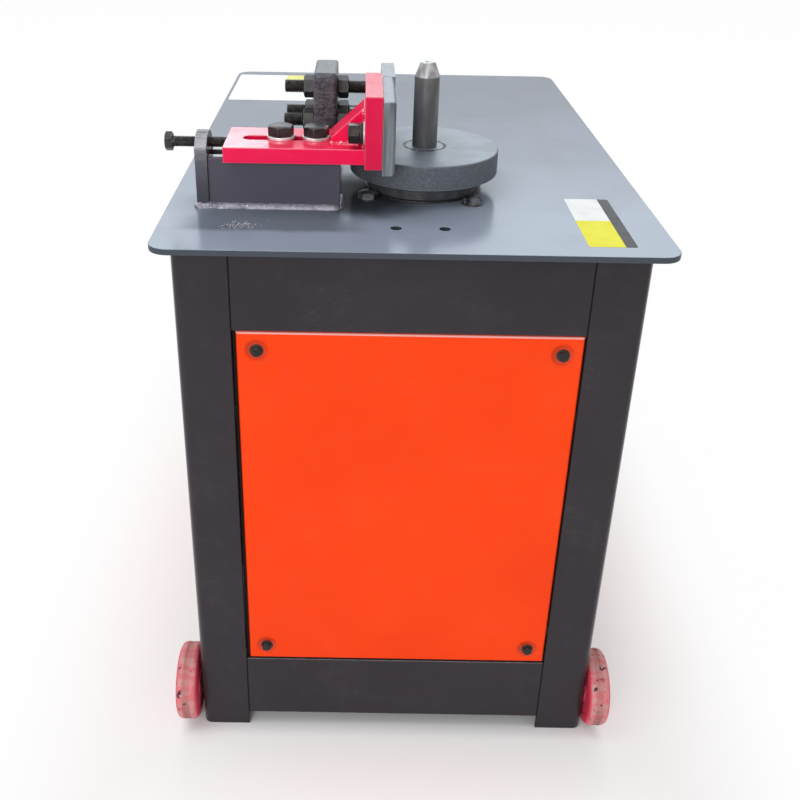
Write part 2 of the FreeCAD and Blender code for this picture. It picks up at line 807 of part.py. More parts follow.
pieces = {
    "table_plate": [make_table_plate()],
    "leg_front_left": [leg],
    "leg_front_right": [leg_right],
    "leg_rear_left": [mirrored(leg, Y_AXIS)],
    "leg_rear_right": [mirrored(leg_right, Y_AXIS)],
    "top_rails": make_rails(rail_profile(opening_top, table_under, True, False)),
    "bottom_rails": make_rails(rail_profile(bottom_rail_above_floor, opening_bottom, True, True)),
    "cover_front": [make_end_cover(front_cover_shift)],
    "cover_rear": [mirrored(make_end_cover(0), Y_AXIS)],
    "cover_left": [side_cover],
    "cover_right": [mirrored(side_cover, X_AXIS)],
    "cover_tabs": make_tabs(),
    "wheel_left": [make_wheel(wheel_gap_left)],
    "wheel_right": [mirrored(make_wheel(wheel_gap_right), X_AXIS)],
    "wheel_axles": [make_axle(wheel_gap_left), mirrored(make_axle(wheel_gap_right), X_AXIS)],
    "work_disc": [make_work_disc()],
    "disc_key": [key_box()],
    "main_shaft": [make_main_shaft()],
    "centre_pin": [make_centre_pin()],
    "bearing_cover": [make_bearing_cover()],
    "flange_bolts": make_flange_bolts(),
    "gear_housing": [make_gear_housing()],
    "motor_frame": [make_motor_frame()],
    "fan_cowl": [make_fan_cowl()],
    "terminal_box": [make_terminal_box()],
    "slide_block": [make_slide_block()],
    "screw_upright": [make_screw_upright()],
    "adjusting_screw": [make_adjusting_screw()],
    "slide_bar": [make_slide_bar()],
    "stop_plate": [make_stop_plate()],
    "gusset": [make_gusset()],
    "wear_plate": [make_wear_plate()],
    "wear_fixings": make_wear_fixings(),
    "t_nuts": make_t_nuts(),
    "rear_post": [make_rear_post()],
    "stop_studs": make_stop_studs(),
    "rear_stop_plate": [make_rear_stop_plate()],
    "button_station": [make_station()],
}
for i, x in enumerate(clamp_xs):
    pieces["clamp_bolt_%d" % (i + 1)] = [make_clamp_bolt(x)]
for name, place in stud_places.items():
    pieces["stop_nuts_" + name] = make_stud_nuts(place)
for name, y in button_ys.items():
    pieces[name] = [make_button(y)]

os.makedirs("parts", exist_ok=True)
for name, solids in pieces.items():
    shape = solids[0] if len(solids) == 1 else Part.makeCompound(solids)
    shape.exportStep("parts/" + name + ".step")
print(len(pieces), "parts written")
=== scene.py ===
import math
import random
from functools import partial, reduce

import bmesh
import bpy
from bpy.props import FloatProperty, FloatVectorProperty, IntProperty, PointerProperty
from bpy.types import Operator, Panel, PropertyGroup
from mathutils import Matrix, Vector, noise


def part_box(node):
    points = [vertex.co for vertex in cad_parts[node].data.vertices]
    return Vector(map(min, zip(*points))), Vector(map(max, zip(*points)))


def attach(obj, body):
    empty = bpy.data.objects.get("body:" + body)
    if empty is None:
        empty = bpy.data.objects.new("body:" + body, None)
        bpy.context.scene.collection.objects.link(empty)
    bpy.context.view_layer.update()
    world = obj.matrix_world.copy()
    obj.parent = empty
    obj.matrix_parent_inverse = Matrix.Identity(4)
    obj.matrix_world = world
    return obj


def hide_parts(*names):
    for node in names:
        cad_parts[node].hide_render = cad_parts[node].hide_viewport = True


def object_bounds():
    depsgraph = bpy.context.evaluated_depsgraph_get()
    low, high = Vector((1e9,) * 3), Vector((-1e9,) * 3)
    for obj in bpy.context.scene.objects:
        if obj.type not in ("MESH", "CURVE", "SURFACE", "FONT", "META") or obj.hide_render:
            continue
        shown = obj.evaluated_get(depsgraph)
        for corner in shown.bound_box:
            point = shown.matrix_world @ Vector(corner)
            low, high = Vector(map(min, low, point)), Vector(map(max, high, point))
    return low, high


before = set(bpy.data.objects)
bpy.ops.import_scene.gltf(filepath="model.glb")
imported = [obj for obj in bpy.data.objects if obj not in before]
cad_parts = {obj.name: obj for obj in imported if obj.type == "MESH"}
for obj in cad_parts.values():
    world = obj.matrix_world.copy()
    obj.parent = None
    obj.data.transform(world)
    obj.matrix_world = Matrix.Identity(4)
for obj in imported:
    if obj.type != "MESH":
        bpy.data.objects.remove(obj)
cad_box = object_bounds()

bl_info = {
    "name": "Rebar Bending Machine",
    "version": (1, 0, 0),
    "blender": (4, 5, 0),
    "location": "3D View > Sidebar > Bender",
    "description": "Dresses a rebar bending machine with its finishes, fasteners, threads and welds",
    "category": "Object",
}

ALONG_X = Vector((1, 0, 0))
ALONG_Y = Vector((0, 1, 0))
UP = Vector((0, 0, 1))
SIDES = (-1, 1)

# Width across the flats of a head or nut and radius of its thread
FASTENERS = {"M14": (0.022, 0.007), "M16": (0.024, 0.008), "M18": (0.027, 0.009), "M20": (0.030, 0.010)}


# Settings
def colour(name, value, description):
    return FloatVectorProperty(name=name, description=description, default=value, size=3, min=0.0, max=1.0,
                               subtype="COLOR")


def number(name, value, description, **limits):
    return FloatProperty(name=name, description=description, default=value, **limits)


def length(name, value, description):
    return number(name, value, description, min=0.0, unit="LENGTH")


def share(name, value, description):
    return number(name, value, description, min=0.0, max=1.0, subtype="FACTOR")


def turn(name, degrees, description):
    return number(name, math.radians(degrees), description, unit="ROTATION")


def power(name, value, description):
    return number(name, value, description, unit="POWER")


def position(name, value, description):
    return FloatVectorProperty(name=name, description=description, default=value, size=3, unit="LENGTH")


class BenderColours(PropertyGroup):
    """Colours of the machine's finishes, as linear values."""
    table: colour("Table", (0.150, 0.180, 0.238), "Gloss grey on the table plate")
    body: colour("Body", (0.036, 0.031, 0.037), "Gloss charcoal on the body")
    # block is a lighter, bluer copy of the body charcoal: painted light for the light the table throws onto
    # the head.
    block: colour("Slide block", (0.094, 0.092, 0.120), "Gloss charcoal on the slide block and upright")
    cover: colour("Covers", (1.0, 0.056, 0.002), "Gloss orange on the sheet covers")
    red: colour("Carriage", (0.95, 0.006, 0.086), "Gloss crimson on the bar, gusset and stop plate")
    grey: colour("Grey parts", (0.115, 0.125, 0.140), "Satin grey on the rear stop plate and the motor")
    forged: colour("Forged post", (0.052, 0.060, 0.080), "Oiled black on the forged post")
    machined: colour("Machined steel", (0.275, 0.312, 0.362), "Turned and ground faces")
    skin: colour("Cast skin", (0.118, 0.128, 0.150), "Unmachined skin of castings")
    blackened: colour("Blackened steel", (0.022, 0.021, 0.021), "Oxide on bolts, nuts and studs")
    pin: colour("Centre pin", (0.115, 0.115, 0.118), "Hardened and oxidised pin")
    zinc: colour("Zinc", (0.78, 0.78, 0.77), "Plated washers")
    bare: colour("Bare steel", (0.50, 0.49, 0.47), "Steel where a finish has worn off")
    # cut is the colour of the painted highlight on the upright's crown.
    cut: colour("Cut edge", (0.46, 0.47, 0.50), "Thin paint over the flame-cut crown of the upright")
    rust: colour("Rust", (0.16, 0.055, 0.02), "Stain in scratches and round fasteners")
    dust: colour("Dust", (0.32, 0.29, 0.26), "Workshop dust on lower faces")
    wheel: colour("Wheels", (0.80, 0.042, 0.095), "Moulded red wheels")
    scuffed: colour("Scuffed tread", (0.61, 0.275, 0.265), "Rubbed part of the wheels' treads")
    tread: colour("Worn tread", (0.17, 0.080, 0.060), "Dirt ground into the tread's middle")
    station: colour("Button box", (0.30, 0.31, 0.31), "Moulded switch box")
    forward: colour("Forward button", (0.015, 0.24, 0.06), "Green button")
    stop: colour("Stop button", (0.55, 0.012, 0.014), "Red button")
    reverse: colour("Reverse button", (0.018, 0.018, 0.018), "Black button")
    sticker_white: colour("Sticker white", (0.82, 0.83, 0.83), "Pale field of the plain sticker")
    sheet_white: colour("Sheet white", (0.93, 0.93, 0.92), "Plain sheet at the table's rear")
    sticker_yellow: colour("Sticker yellow", (0.80, 0.76, 0.005), "Yellow field of the plain sticker")
    sticker_dark: colour("Sticker edge", (0.055, 0.055, 0.060), "Dark strip of the plain sticker")
    floor: colour("Floor", (0.90, 0.90, 0.90), "Plain pale studio floor")


class BenderWear(PropertyGroup):
    """How far the finishes have been used."""
    # In the paints the line along an edge is mostly a painted highlight.
    edge_width: length("Edge width", 0.0016, "Width of the rubbed line along an edge")
    chips: share("Chips", 0.34, "Share of an edge where paint has chipped to bare steel")
    scratches: share("Scratches", 0.30, "Strength of fine scratches")
    dust: share("Dust", 0.16, "Dust lying on the paint")
    rust: share("Rust", 0.25, "Rust staining on castings and bolts")


class BenderSoftening(PropertyGroup):
    """Broken edges on the carried-over pieces."""
    sheet: length("Sheet edges", 0.0006, "Rounding of sheet edges")
    plate: length("Plate edges", 0.0011, "Rounding of flame-cut and milled plate edges")
    turned: length("Turned edges", 0.0009, "Rounding of turned edges")
    moulded: length("Moulded edges", 0.0016, "Rounding of moulded edges")


class BenderFasteners(PropertyGroup):
    """Hexagon heads, threads and the covers' bolts."""
    chamfer: turn("Chamfer", 30, "Slope of the cone that breaks a hexagon's corners")
    screw_pitch: length("Screw pitch", 0.002, "Thread pitch of the adjusting screw and the fixings")
    stud_pitch: length("Stud pitch", 0.0025, "Thread pitch of the stop studs and clamp bolts")
    cover_flats: length("Cover bolt size", 0.0125, "Across the flats of a cover bolt")
    cover_head: length("Cover bolt height", 0.0052, "Height of a cover bolt's hexagon")
    cover_flange: length("Cover bolt flange", 0.0088, "Radius of a cover bolt's flange")
    cover_inset: length("Cover bolt inset", 0.026, "From a cover's edges to its bolts")


class BenderWelds(PropertyGroup):
    """Beads of weld metal."""
    width: length("Width", 0.0082, "Leg of a bead on the table")
    height: length("Height", 0.0062, "Leg of a bead on the upright face")
    fine: length("Fine bead", 0.0055, "Leg of the beads on the carriage")
    ripple: length("Ripple", 0.0034, "Length of one scale of a bead")
    spatter: IntProperty(name="Spatter", description="Beads of spatter on the table", default=120, min=0)
    spatter_at: position("Spatter place", (0.105, 0.086, 0.0),
                         "Middle of the spatter from the table's front left")


class BenderWheels(PropertyGroup):
    """Shape of the moulded transport wheels."""
    shoulder: length("Shoulder", 0.0085, "Rounding between tread and sides")
    rim_edge: length("Rim edge", 0.0022, "Rounding of the recess's rim")
    hub: length("Hub", 0.019, "Radius of the raised hub")
    hub_rise: length("Hub rise", 0.0018, "Height of the hub above the web")


class BenderSticker(PropertyGroup):
    """Plain colour fields stuck to the table, placed from its front left corner."""
    from_left: length("From left", 0.5312, "Table's left edge to the sticker")
    from_front: length("From front", 0.0315, "Table's front edge to the sticker")
    width: length("Width", 0.0592, "Across the sticker")
    depth: length("Depth", 0.1775, "Front to rear of the sticker")
    yellow_depth: length("Yellow depth", 0.0915, "Front to rear of the yellow field")
    strip: length("Strip", 0.0145, "Width of the dark strip along the right-hand edge")
    sheet_from_left: length("Sheet from left", 0.0060, "Table's left edge to the plain sheet")
    sheet_from_front: length("Sheet from front", 0.7455, "Table's front edge to the plain sheet")
    sheet_width: length("Sheet width", 0.1545, "Across the plain sheet")
    sheet_depth: length("Sheet depth", 0.2150, "Front to rear of the plain sheet")
    corner_width: length("Corner width", 0.0600, "Across the sheet's yellow corner field")
    corner_depth: length("Corner depth", 0.0470, "Front to rear of the sheet's yellow corner field")
    thickness: length("Thickness", 0.00025, "Thickness of both sheets")


class BenderStudio(PropertyGroup):
    """Camera and light."""
    camera_at: position("Camera", (-0.06252, -1.58260, 1.23974), "Where the camera stands")
    pitch: turn("Pitch", 27.199, "How far the camera looks down")
    roll: turn("Roll", -1.007, "How far the camera leans")
    yaw: turn("Yaw", 0.058, "How far the camera looks to the right")
    focus: number("Focal length", 44.663, "In millimetres on a 36 mm sensor")
    shift_x: number("Shift across", 0.0502, "Share of the frame's width")
    shift_y: number("Shift up", -0.0677, "Share of the frame's width")
    world: number("World light", 0.58, "Strength of the world on matt faces")
    top_power: power("Top lamp", 26.0, "Power of the lamp overhead")
    back_power: power("Back lamp", 105.0, "Power of the lamp behind")
    front_power: power("Front lamp", 62.0, "Power of the lamp in front")
    sky: colour("Back lamp tint", (0.85, 0.94, 1.0), "Coolness of the light behind")
    floor_glow: share("Floor glow", 0.97, "How far the seen floor is lifted to white")
    floor_shade: share("Shaded glow", 0.35, "The same beside the machine, where its shadow lies")
    shade_reach: length("Shade reach", 0.30, "From the machine to the end of its shaded floor")


# Shader maths
def sum_node(operation):
    """A method that adds one Math node."""
    def method(*values):
        return values[0].nodes.node("Math", {"operation": operation}, dict(enumerate(values)))
    return method


class Value:
    """A number that varies over a surface; each operator adds the Math node that works it out."""

    def __init__(self, nodes, socket):
        self.nodes = nodes
        self.socket = socket

    __add__ = __radd__ = sum_node("ADD")
    __sub__ = sum_node("SUBTRACT")
    __mul__ = __rmul__ = sum_node("MULTIPLY")
    __abs__ = sum_node("ABSOLUTE")
    most = sum_node("MAXIMUM")
    least = sum_node("MINIMUM")

    def __rsub__(self, other):
        return self.nodes.node("Math", {"operation": "SUBTRACT"}, {0: other, 1: self})

    def between(self, low, high):
        """0 at low, 1 at high and smooth in between; low may be the larger."""
        settings = {"interpolation_type": "SMOOTHSTEP"}
        return self.nodes.node("MapRange", settings, {"Value": self, "From Min": low, "From Max": high})


class Nodes:
    """The node tree of a material or of the world."""

    def __init__(self, tree):
        self.tree = tree

    def node(self, kind, settings=None, inputs=None, output=0):
        """Adds a node: settings first, then the values or links of its sockets."""
        node = self.tree.nodes.new("ShaderNode" + kind)
        for name, value in (settings or {}).items():
            setattr(node, name, value)
        for name, value in (inputs or {}).items():
            self.feed(node.inputs[name], value)
        return Value(self, node.outputs[output])

    def feed(self, socket, value):
        """Links a Value to a socket, or sets the socket to a constant."""
        if isinstance(value, Value):
            self.tree.links.new(value.socket, socket)
        elif socket.type == "RGBA" and len(value) == 3:
            socket.default_value = (*value, 1.0)
        else:
            socket.default_value = value

    def seen(self):
        """1 for rays from the camera, from mirrors and through glass."""
        camera, mirror, glass = [self.node("LightPath", output=kind)
                                 for kind in ("Is Camera Ray", "Is Glossy Ray", "Is Transmission Ray")]
        return (camera + mirror + glass).least(1.0)


class Finish(Nodes):
    """One material, its nodes and its surface shader."""

    def __init__(self, name):
        self.material = bpy.data.materials.new(finish_label(name))
        self.material.use_nodes = True
        super().__init__(self.material.node_tree)
        self.shader = self.tree.nodes["Principled BSDF"]
        self.colours = bpy.context.scene.bender_colours
        self.wear = bpy.context.scene.bender_wear
        self.spot = self.node("TexCoord", output="Object")

    def vector(self, operation, *vectors):
        """Adds a vector sum; a distance or a dot product comes out as a number."""
        output = "Value" if operation in ("DISTANCE", "DOT_PRODUCT") else 0
        return self.node("VectorMath", {"operation": operation}, dict(enumerate(vectors)), output)

    def distance(self, point, spot=None):
        return self.vector("DISTANCE", spot or self.spot, point)

    def axis(self, letter, vector=None):
        """One part of a vector, or of the place on the surface."""
        return self.node("SeparateXYZ", None, {"Vector": vector or self.spot}, letter)

    def noise(self, scale, detail=3.0, stretch=None, spot=None):
        """Cloudy pattern; scale is in waves a metre, and stretch squeezes it along each axis."""
        spot = spot or self.spot
        if stretch:
            spot = self.vector("MULTIPLY", spot, stretch)
        return self.node("TexNoise", None, {"Vector": spot, "Scale": scale, "Detail": detail})

    def scratches(self, scale=26.0):
        """Thin broken lines in two directions."""
        bands = [self.noise(scale, 5.0, stretch) for stretch in ((1.0, 14.0, 3.0), (12.0, 1.3, 9.0))]
        lines = reduce(Value.most, [(1 - abs(band - 0.5) * 60).between(0.0, 1.0) for band in bands])
        return lines * self.noise(9.0, 2.0).between(0.52, 0.66)

    def rounded(self, width):
        """Normal that turns smoothly round the edges."""
        return self.node("Bevel", {"samples": 6}, {"Radius": width})

    def facing(self):
        """Normal of the surface as it is shaded."""
        return self.node("NewGeometry", output="Normal")

    def edges(self, width, rounded=None):
        """1 along convex edges and in tight corners, 0 on open faces."""
        agreement = self.vector("DOT_PRODUCT", rounded or self.rounded(width), self.facing())
        return (1 - agreement).between(0.01, 0.16)

    def lean(self):
        """1 on level faces that look up, 0 on upright ones and -1 on level ones that look down."""
        return self.axis("Z", self.facing())

    def upward(self):
        """1 on faces that look up or nearly so, 0 on the others."""
        return self.lean().between(0.55, 0.85)

    def mix(self, tone, *layers):
        """A colour with others laid over it, each by its own factor."""
        for upper, factor in layers:
            tone = self.node("Mix", {"data_type": "RGBA"}, {"Factor": factor, 6: tone, 7: upper}, 2)
        return tone

    def sheen(self, square, glancing):
        """Gloss that is one strength seen square on and another at a glancing angle."""
        facing = self.node("LayerWeight", None, {"Blend": 0.5}, "Facing")
        return square + facing.between(0.30, 0.80) * (glancing - square)

    def bump(self, height, distance, strength=1.0, normal=None):
        """Normal tilted by a height, over another normal where one is given."""
        inputs = {"Height": height, "Distance": distance, "Strength": strength}
        if normal is not None:
            inputs["Normal"] = normal
        return self.node("Bump", None, inputs)

    def shade(self, **sockets):
        """Sets the surface shader's sockets, named with spaces as underscores."""
        for name, value in sockets.items():
            self.feed(self.shader.inputs[name.replace("_", " ").title().replace("Ior", "IOR")], value)
        return self.material


def finish_label(name):
    """A material's name in the file, apart from the frame's own materials."""
    return name.replace("_", " ")


def scaled(tone, factor):
    return tuple(min(1.0, part * factor) for part in tone)


def lighter(tone, amount):
    return tuple(part + (1 - part) * amount for part in tone)


# Finishes
def paint(finish, base, roughness, coat, depth=1.0, peel=0.00012, chips=1.0, line=0.16, crest=0.3, spread=1.0,
          dents=None, seams=None, cut=None, shine=None):
    """Sprayed paint: slow clouds, orange peel, dust, fine scratches and chips, with thin lighter lines along
    edges as a painted highlight, strongest where the rounding looks up.
    """
    tone = scaled(getattr(finish.colours, base), depth)
    clouds = finish.noise(4.5, 4.0)
    dust = finish.noise(48.0, 6.0).between(0.48, 0.80) * finish.wear.dust * (0.25 + finish.upward())
    scratches = finish.scratches() * finish.wear.scratches
    rounded = finish.rounded(finish.wear.edge_width * spread)
    edges = finish.edges(finish.wear.edge_width * spread, rounded)
    # raised: a painted highlight where an edge's rounding looks up; the lighter line along every edge is
    # painted highlight too, partly paint rubbed thin there.
    raised = edges * finish.axis("Z", rounded).between(0.0, 0.6)
    chipped = (edges * finish.noise(120.0, 4.0)).between(0.56 - 0.2 * finish.wear.chips, 0.62) * chips
    hue = finish.mix(
        scaled(tone, 0.93), (scaled(tone, 1.06), clouds.between(0.3, 0.7)),
        (lighter(tone, 0.10), scratches * 0.4), (finish.colours.dust, dust * 0.5),
        (lighter(tone, line), edges * 0.45), (lighter(tone, crest), raised * 0.8),
        (finish.colours.bare, chipped))
    if seams:
        hue = finish.mix(hue, (scaled(tone, 0.15), seams(finish)))
    # cut lays the cut colour as a painted highlight on the upright's crown.
    if cut:
        hue = finish.mix(hue, (finish.colours.cut, cut(finish)))
    peeled = finish.bump(finish.noise(330.0, 2.0), peel, 0.55, rounded)
    bent = finish.bump(finish.noise(7.0, 2.0), 0.0011, 0.35, peeled)
    gloss = finish.sheen(0.08, coat) * (1 - dust - chipped)
    if shine:
        gloss = gloss * shine(finish)
    # dents give the dimples for the bump and a fold mask that lays a painted highlight along the covers' top
    # fold.
    if dents:
        dimples, fold_highlight = dents(finish)
        hue = finish.mix(hue, (lighter(tone, crest), fold_highlight * 0.8))
        bent = finish.bump(1 - dimples, 0.0055, 1.0, bent)
        gloss = gloss + dimples * 0.7
    return finish.shade(
        base_color=hue, metallic=chipped * 0.7, specular_ior_level=0.1,
        roughness=roughness + clouds * 0.10 + dust * 0.8 + scratches * 0.25, coat_weight=gloss,
        coat_roughness=0.12, normal=finish.bump(scratches + chipped * 2.0, 0.00008, 0.7, bent))


def leg_seams(finish):
    """1 along the joints where the legs meet the rails."""
    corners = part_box("leg_front_left")[1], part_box("leg_rear_right")[0]
    return reduce(Value.most, [abs(finish.axis(letter) - joint).between(0.0014, 0.0008)
                               for corner in corners for letter, joint in zip("XY", corner)])


def cover_dimples_and_highlight(finish):
    """1 in the shallow dimple round each bolt of the covers, and 1 along the fold at their top, where the
    paint takes a painted highlight.
    """
    inset = bpy.context.scene.bender_fasteners.cover_inset
    distances = []
    for side in ("front", "rear", "left", "right"):
        low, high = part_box("cover_" + side)
        reach = Vector(half - inset if half > inset else half for half in (high - low) / 2)
        offset = finish.vector("SUBTRACT", finish.spot, (low + high) / 2)
        distances.append(finish.distance(reach, finish.vector("ABSOLUTE", offset)))
    lean = finish.lean()
    fold_highlight = lean.between(0.12, 0.45) * lean.between(0.98, 0.75)
    return reduce(Value.least, distances).between(0.0165, 0.0075), fold_highlight


def flame_cut_highlight(finish):
    """Strength of the painted highlight on the upright's sloping crown, in steps across it where the torch
    dragged.
    """
    lean = finish.lean()
    drag = finish.noise(70.0, 4.0, (0.6, 5.0, 5.0)).between(0.36, 0.56)
    return lean.between(0.06, 0.60) * lean.between(1.0, 0.93) * (0.45 + 0.45 * drag)


def bar_shine(finish):
    """Polish of the slide bar: most at its free end, least beside the bolts and on the gusset."""
    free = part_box("slide_bar")[0].x
    return 1.9 - finish.axis("X").between(free + 0.01, free + 0.12) * 1.2


def table_painted_shade(finish):
    """Strength of the painted shade on the table, round a spot before the disc and in a band before the slide
    block, where the head shades the table and darkens what it mirrors.
    """
    spindle = middle("main_shaft")
    low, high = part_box("slide_block")
    shade_centre = (spindle.x - 0.088, spindle.y - 0.050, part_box("table_plate")[1].z)
    uneven = finish.noise(24.0, 5.0) - 0.5
    round_shade_centre = (finish.distance(shade_centre) + uneven * 0.05).between(0.122, 0.050) * 0.88
    half = (high.x - low.x) / 2
    off_centre = abs(finish.axis("X") - (low.x + high.x) / 2) + uneven * 0.04
    beside = off_centre.between(half + 0.05, half - 0.02)
    ahead = (finish.axis("Y") + uneven * 0.012).between(low.y - 0.094, low.y - 0.078)
    behind = finish.axis("Y").between(high.y + 0.03, low.y)
    return round_shade_centre.most(beside * ahead * behind * 0.52)


def table_paint(finish):
    """Blue-grey gloss, rubbed by bars round the disc, with smudges of oil and a few long scratches; painted
    light makes it lighter towards its front and darker on its side faces, and painted shade darkens it before
    the disc and the slide block.
    """
    tone = finish.colours.table
    painted_shade = table_painted_shade(finish)
    worked = finish.distance(middle("main_shaft")).between(0.42, 0.12)
    # front: the table is painted lighter towards its front, painted light standing in for the light it
    # reflects there.
    front = finish.axis("Y").between(-0.02, -0.42)
    shine = 0.68 - finish.axis("Y").between(0.25, -0.42) * 0.23
    clouds = finish.noise(3.2, 5.0)
    smudges = finish.noise(8.5, 6.0).between(0.50, 0.70)
    streaks = finish.noise(11.0, 4.0, (1.0, 0.16, 1.0)).between(0.55, 0.75)
    scratches = (finish.scratches(18.0) + finish.scratches(41.0)) * (finish.wear.scratches + worked * 0.35)
    chipped = (finish.edges(finish.wear.edge_width) * finish.noise(90.0, 5.0)).between(0.52, 0.60)
    # The last layer below is painted shade before the disc and the slide block; it also cuts the coat there.
    hue = finish.mix(
        scaled(tone, 0.88), (scaled(tone, 1.12), clouds.between(0.32, 0.68)),
        ((0.305, 0.358, 0.448), front * 0.8), (scaled(tone, 0.70), smudges * 0.18),
        (lighter(tone, 0.14), scratches * 0.45), (finish.colours.dust, streaks * 0.08),
        (scaled(tone, 0.16), painted_shade))
    # Faces that don't look up take a darker copy of the paint: painted shade on the plate's edges and
    # underside.
    hue = finish.mix(scaled(tone, 0.34), (hue, finish.upward()), (finish.colours.bare, chipped))
    peeled = finish.bump(finish.noise(300.0, 2.0), 0.00010, 0.45)
    bent = finish.bump(finish.noise(5.0, 2.0), 0.0016, 0.25, peeled)
    return finish.shade(
        base_color=hue, metallic=chipped * 0.7, specular_ior_level=0.0, coat_roughness=0.20, coat_ior=1.6,
        roughness=0.42 + clouds * 0.10 + streaks * 0.10 + scratches * 0.2 - smudges * 0.06,
        coat_weight=(shine - streaks * 0.05 - scratches * 0.3 - chipped * 0.8) * (1 - painted_shade),
        normal=finish.bump(scratches + chipped * 2.0, 0.00007, 0.6, bent))


def red_weld(finish):
    """Gloss crimson over weld metal, with pale glints scattered over it as painted highlights."""
    grain = finish.noise(210.0, 4.0)
    painted_glints = finish.noise(150.0, 5.0).between(0.54, 0.60)
    hue = finish.mix(scaled(finish.colours.red, 0.8), ((0.95, 0.60, 0.68), painted_glints * 0.85))
    return finish.shade(base_color=hue, roughness=0.20 + grain * 0.15, coat_weight=0.8, coat_roughness=0.08,
                        normal=finish.bump(grain, 0.0008, 0.8))


def weld_paint(finish):
    """Paint over weld metal: dark in the valleys, rubbed pale on the crests, with pale specks of painted
    highlight.
    """
    grain = finish.noise(260.0, 5.0)
    rubbed = finish.noise(60.0, 5.0).between(0.34, 0.56)
    painted_glints = finish.noise(190.0, 3.0).between(0.58, 0.68)
    hue = finish.mix(scaled(finish.colours.block, 1.7), ((0.42, 0.42, 0.49), rubbed * 0.8),
                     ((0.70, 0.70, 0.76), painted_glints * 0.6))
    return finish.shade(base_color=hue, roughness=0.32 + grain * 0.25, coat_weight=0.7 - rubbed * 0.4,
                        metallic=rubbed * 0.2, normal=finish.bump(grain, 0.0005, 0.8))


def machined_steel(finish):
    """Turned face on top, dark pitted skin on the rim of the disc, dirt in the joint round the shaft."""
    steel, casting = finish.colours.machined, finish.colours.skin
    spindle = middle("main_shaft")
    joint_radius, joint_depth = 0.0281, 0.0045
    joint_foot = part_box("main_shaft")[1].z - joint_depth
    reach = finish.distance((spindle.x, spindle.y, 0), finish.vector("MULTIPLY", finish.spot, (1, 1, 0)))
    rings = finish.noise(9.0, 5.0, spot=finish.node("CombineXYZ", None, {"X": reach * 300.0}))
    upward = finish.upward()
    blotches = finish.noise(26.0, 6.0)
    pits = finish.noise(420.0, 6.0)
    edges = finish.edges(finish.wear.edge_width * 1.4)
    in_joint = finish.axis("Z").between(joint_foot, joint_foot + 0.001)
    joint = abs(reach - joint_radius).between(0.0034, 0.0018) * in_joint
    specks = joint * finish.noise(300.0, 3.0).between(0.60, 0.66)
    top = finish.mix(scaled(steel, 0.65), (scaled(steel, 0.84), blotches.between(0.35, 0.65)),
                     (scaled(steel, 0.40), rings.between(0.52, 0.72) * 0.6))
    side = finish.mix(scaled(casting, 0.82), (scaled(casting, 1.22), pits.between(0.35, 0.68)),
                      (finish.colours.rust, blotches.between(0.62, 0.76) * finish.wear.rust * 0.4))
    hue = finish.mix(side, (top, upward), ((0.72, 0.75, 0.80), edges * 0.9),
                     (scaled(casting, 0.06), joint * 0.95), ((0.75, 0.76, 0.78), specks))
    pitted = finish.bump(pits, 0.00028, 0.9)
    return finish.shade(base_color=hue, metallic=0.30 + edges * 0.4, specular_ior_level=0.35,
                        roughness=0.50 - upward * 0.06 - edges * 0.14 + pits * 0.08,
                        normal=finish.bump(rings * upward, 0.00012, 0.6, pitted))


def ground_steel(finish):
    """Plates ground with the wheel running upright, bright on their worn edges, their top faces painted
    lighter as painted light.
    """
    lay = finish.noise(16.0, 6.0, (9.0, 9.0, 0.55))
    fine = finish.noise(110.0, 4.0, (9.0, 9.0, 0.4))
    spots = finish.noise(30.0, 5.0).between(0.55, 0.70)
    edges = finish.edges(finish.wear.edge_width * 1.6)
    hue = finish.mix(
        (0.085, 0.095, 0.108), ((0.200, 0.224, 0.256), lay.between(0.34, 0.68)),
        # Top faces lighter: painted light.
        ((0.20, 0.22, 0.25), finish.upward() * (0.55 + 0.35 * lay)),
        (finish.colours.rust, spots * finish.wear.rust * 0.4), ((0.78, 0.82, 0.88), edges * 0.9))
    return finish.shade(base_color=hue, metallic=0.45 + edges * 0.4,
                        roughness=0.36 + fine * 0.16 - edges * 0.1, normal=finish.bump(fine, 0.00010, 0.6))


def pin_steel(finish):
    """Oxidised pin: fine turning marks round it, and a bare cone where sleeves rub."""
    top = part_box("centre_pin")[1].z
    marks = finish.noise(60.0, 5.0, (0.6, 0.6, 30.0))
    stain = finish.noise(45.0, 5.0, (1.0, 1.0, 0.35))
    streaks = finish.noise(150.0, 4.0, (1.0, 1.0, 0.15)).between(0.35, 0.65)
    bare = (finish.axis("Z") + (marks - 0.5) * 0.003).between(top - 0.0193, top - 0.0175)
    cone = finish.mix((0.26, 0.26, 0.27), ((0.52, 0.52, 0.53), streaks))
    tone = finish.colours.pin
    hue = finish.mix(scaled(tone, 0.75), (lighter(tone, 0.06), stain.between(0.35, 0.65)),
                     (cone, bare * (0.62 + 0.38 * marks)))
    return finish.shade(base_color=hue, metallic=0.35 + bare * 0.45,
                        roughness=0.36 + marks * 0.16 - bare * 0.06, normal=finish.bump(marks, 0.00012, 0.7))


def cast_iron(finish):
    """Sand-cast skin with a grain, oil stains and rust in its low places."""
    grain = finish.noise(520.0, 4.0)
    lumps = finish.noise(70.0, 4.0)
    stains = finish.noise(11.0, 5.0).between(0.48, 0.66)
    tone = finish.colours.skin
    hue = finish.mix(scaled(tone, 0.30), (scaled(tone, 0.62), lumps.between(0.3, 0.7)),
                     (finish.colours.rust, stains * finish.wear.rust * 0.3),
                     (lighter(finish.colours.machined, 0.3), finish.edges(finish.wear.edge_width) * 0.6))
    return finish.shade(base_color=hue, metallic=0.2, roughness=0.52 + grain * 0.12 - stains * 0.1,
                        normal=finish.bump(grain + lumps * 2.0, 0.0006, 0.8))


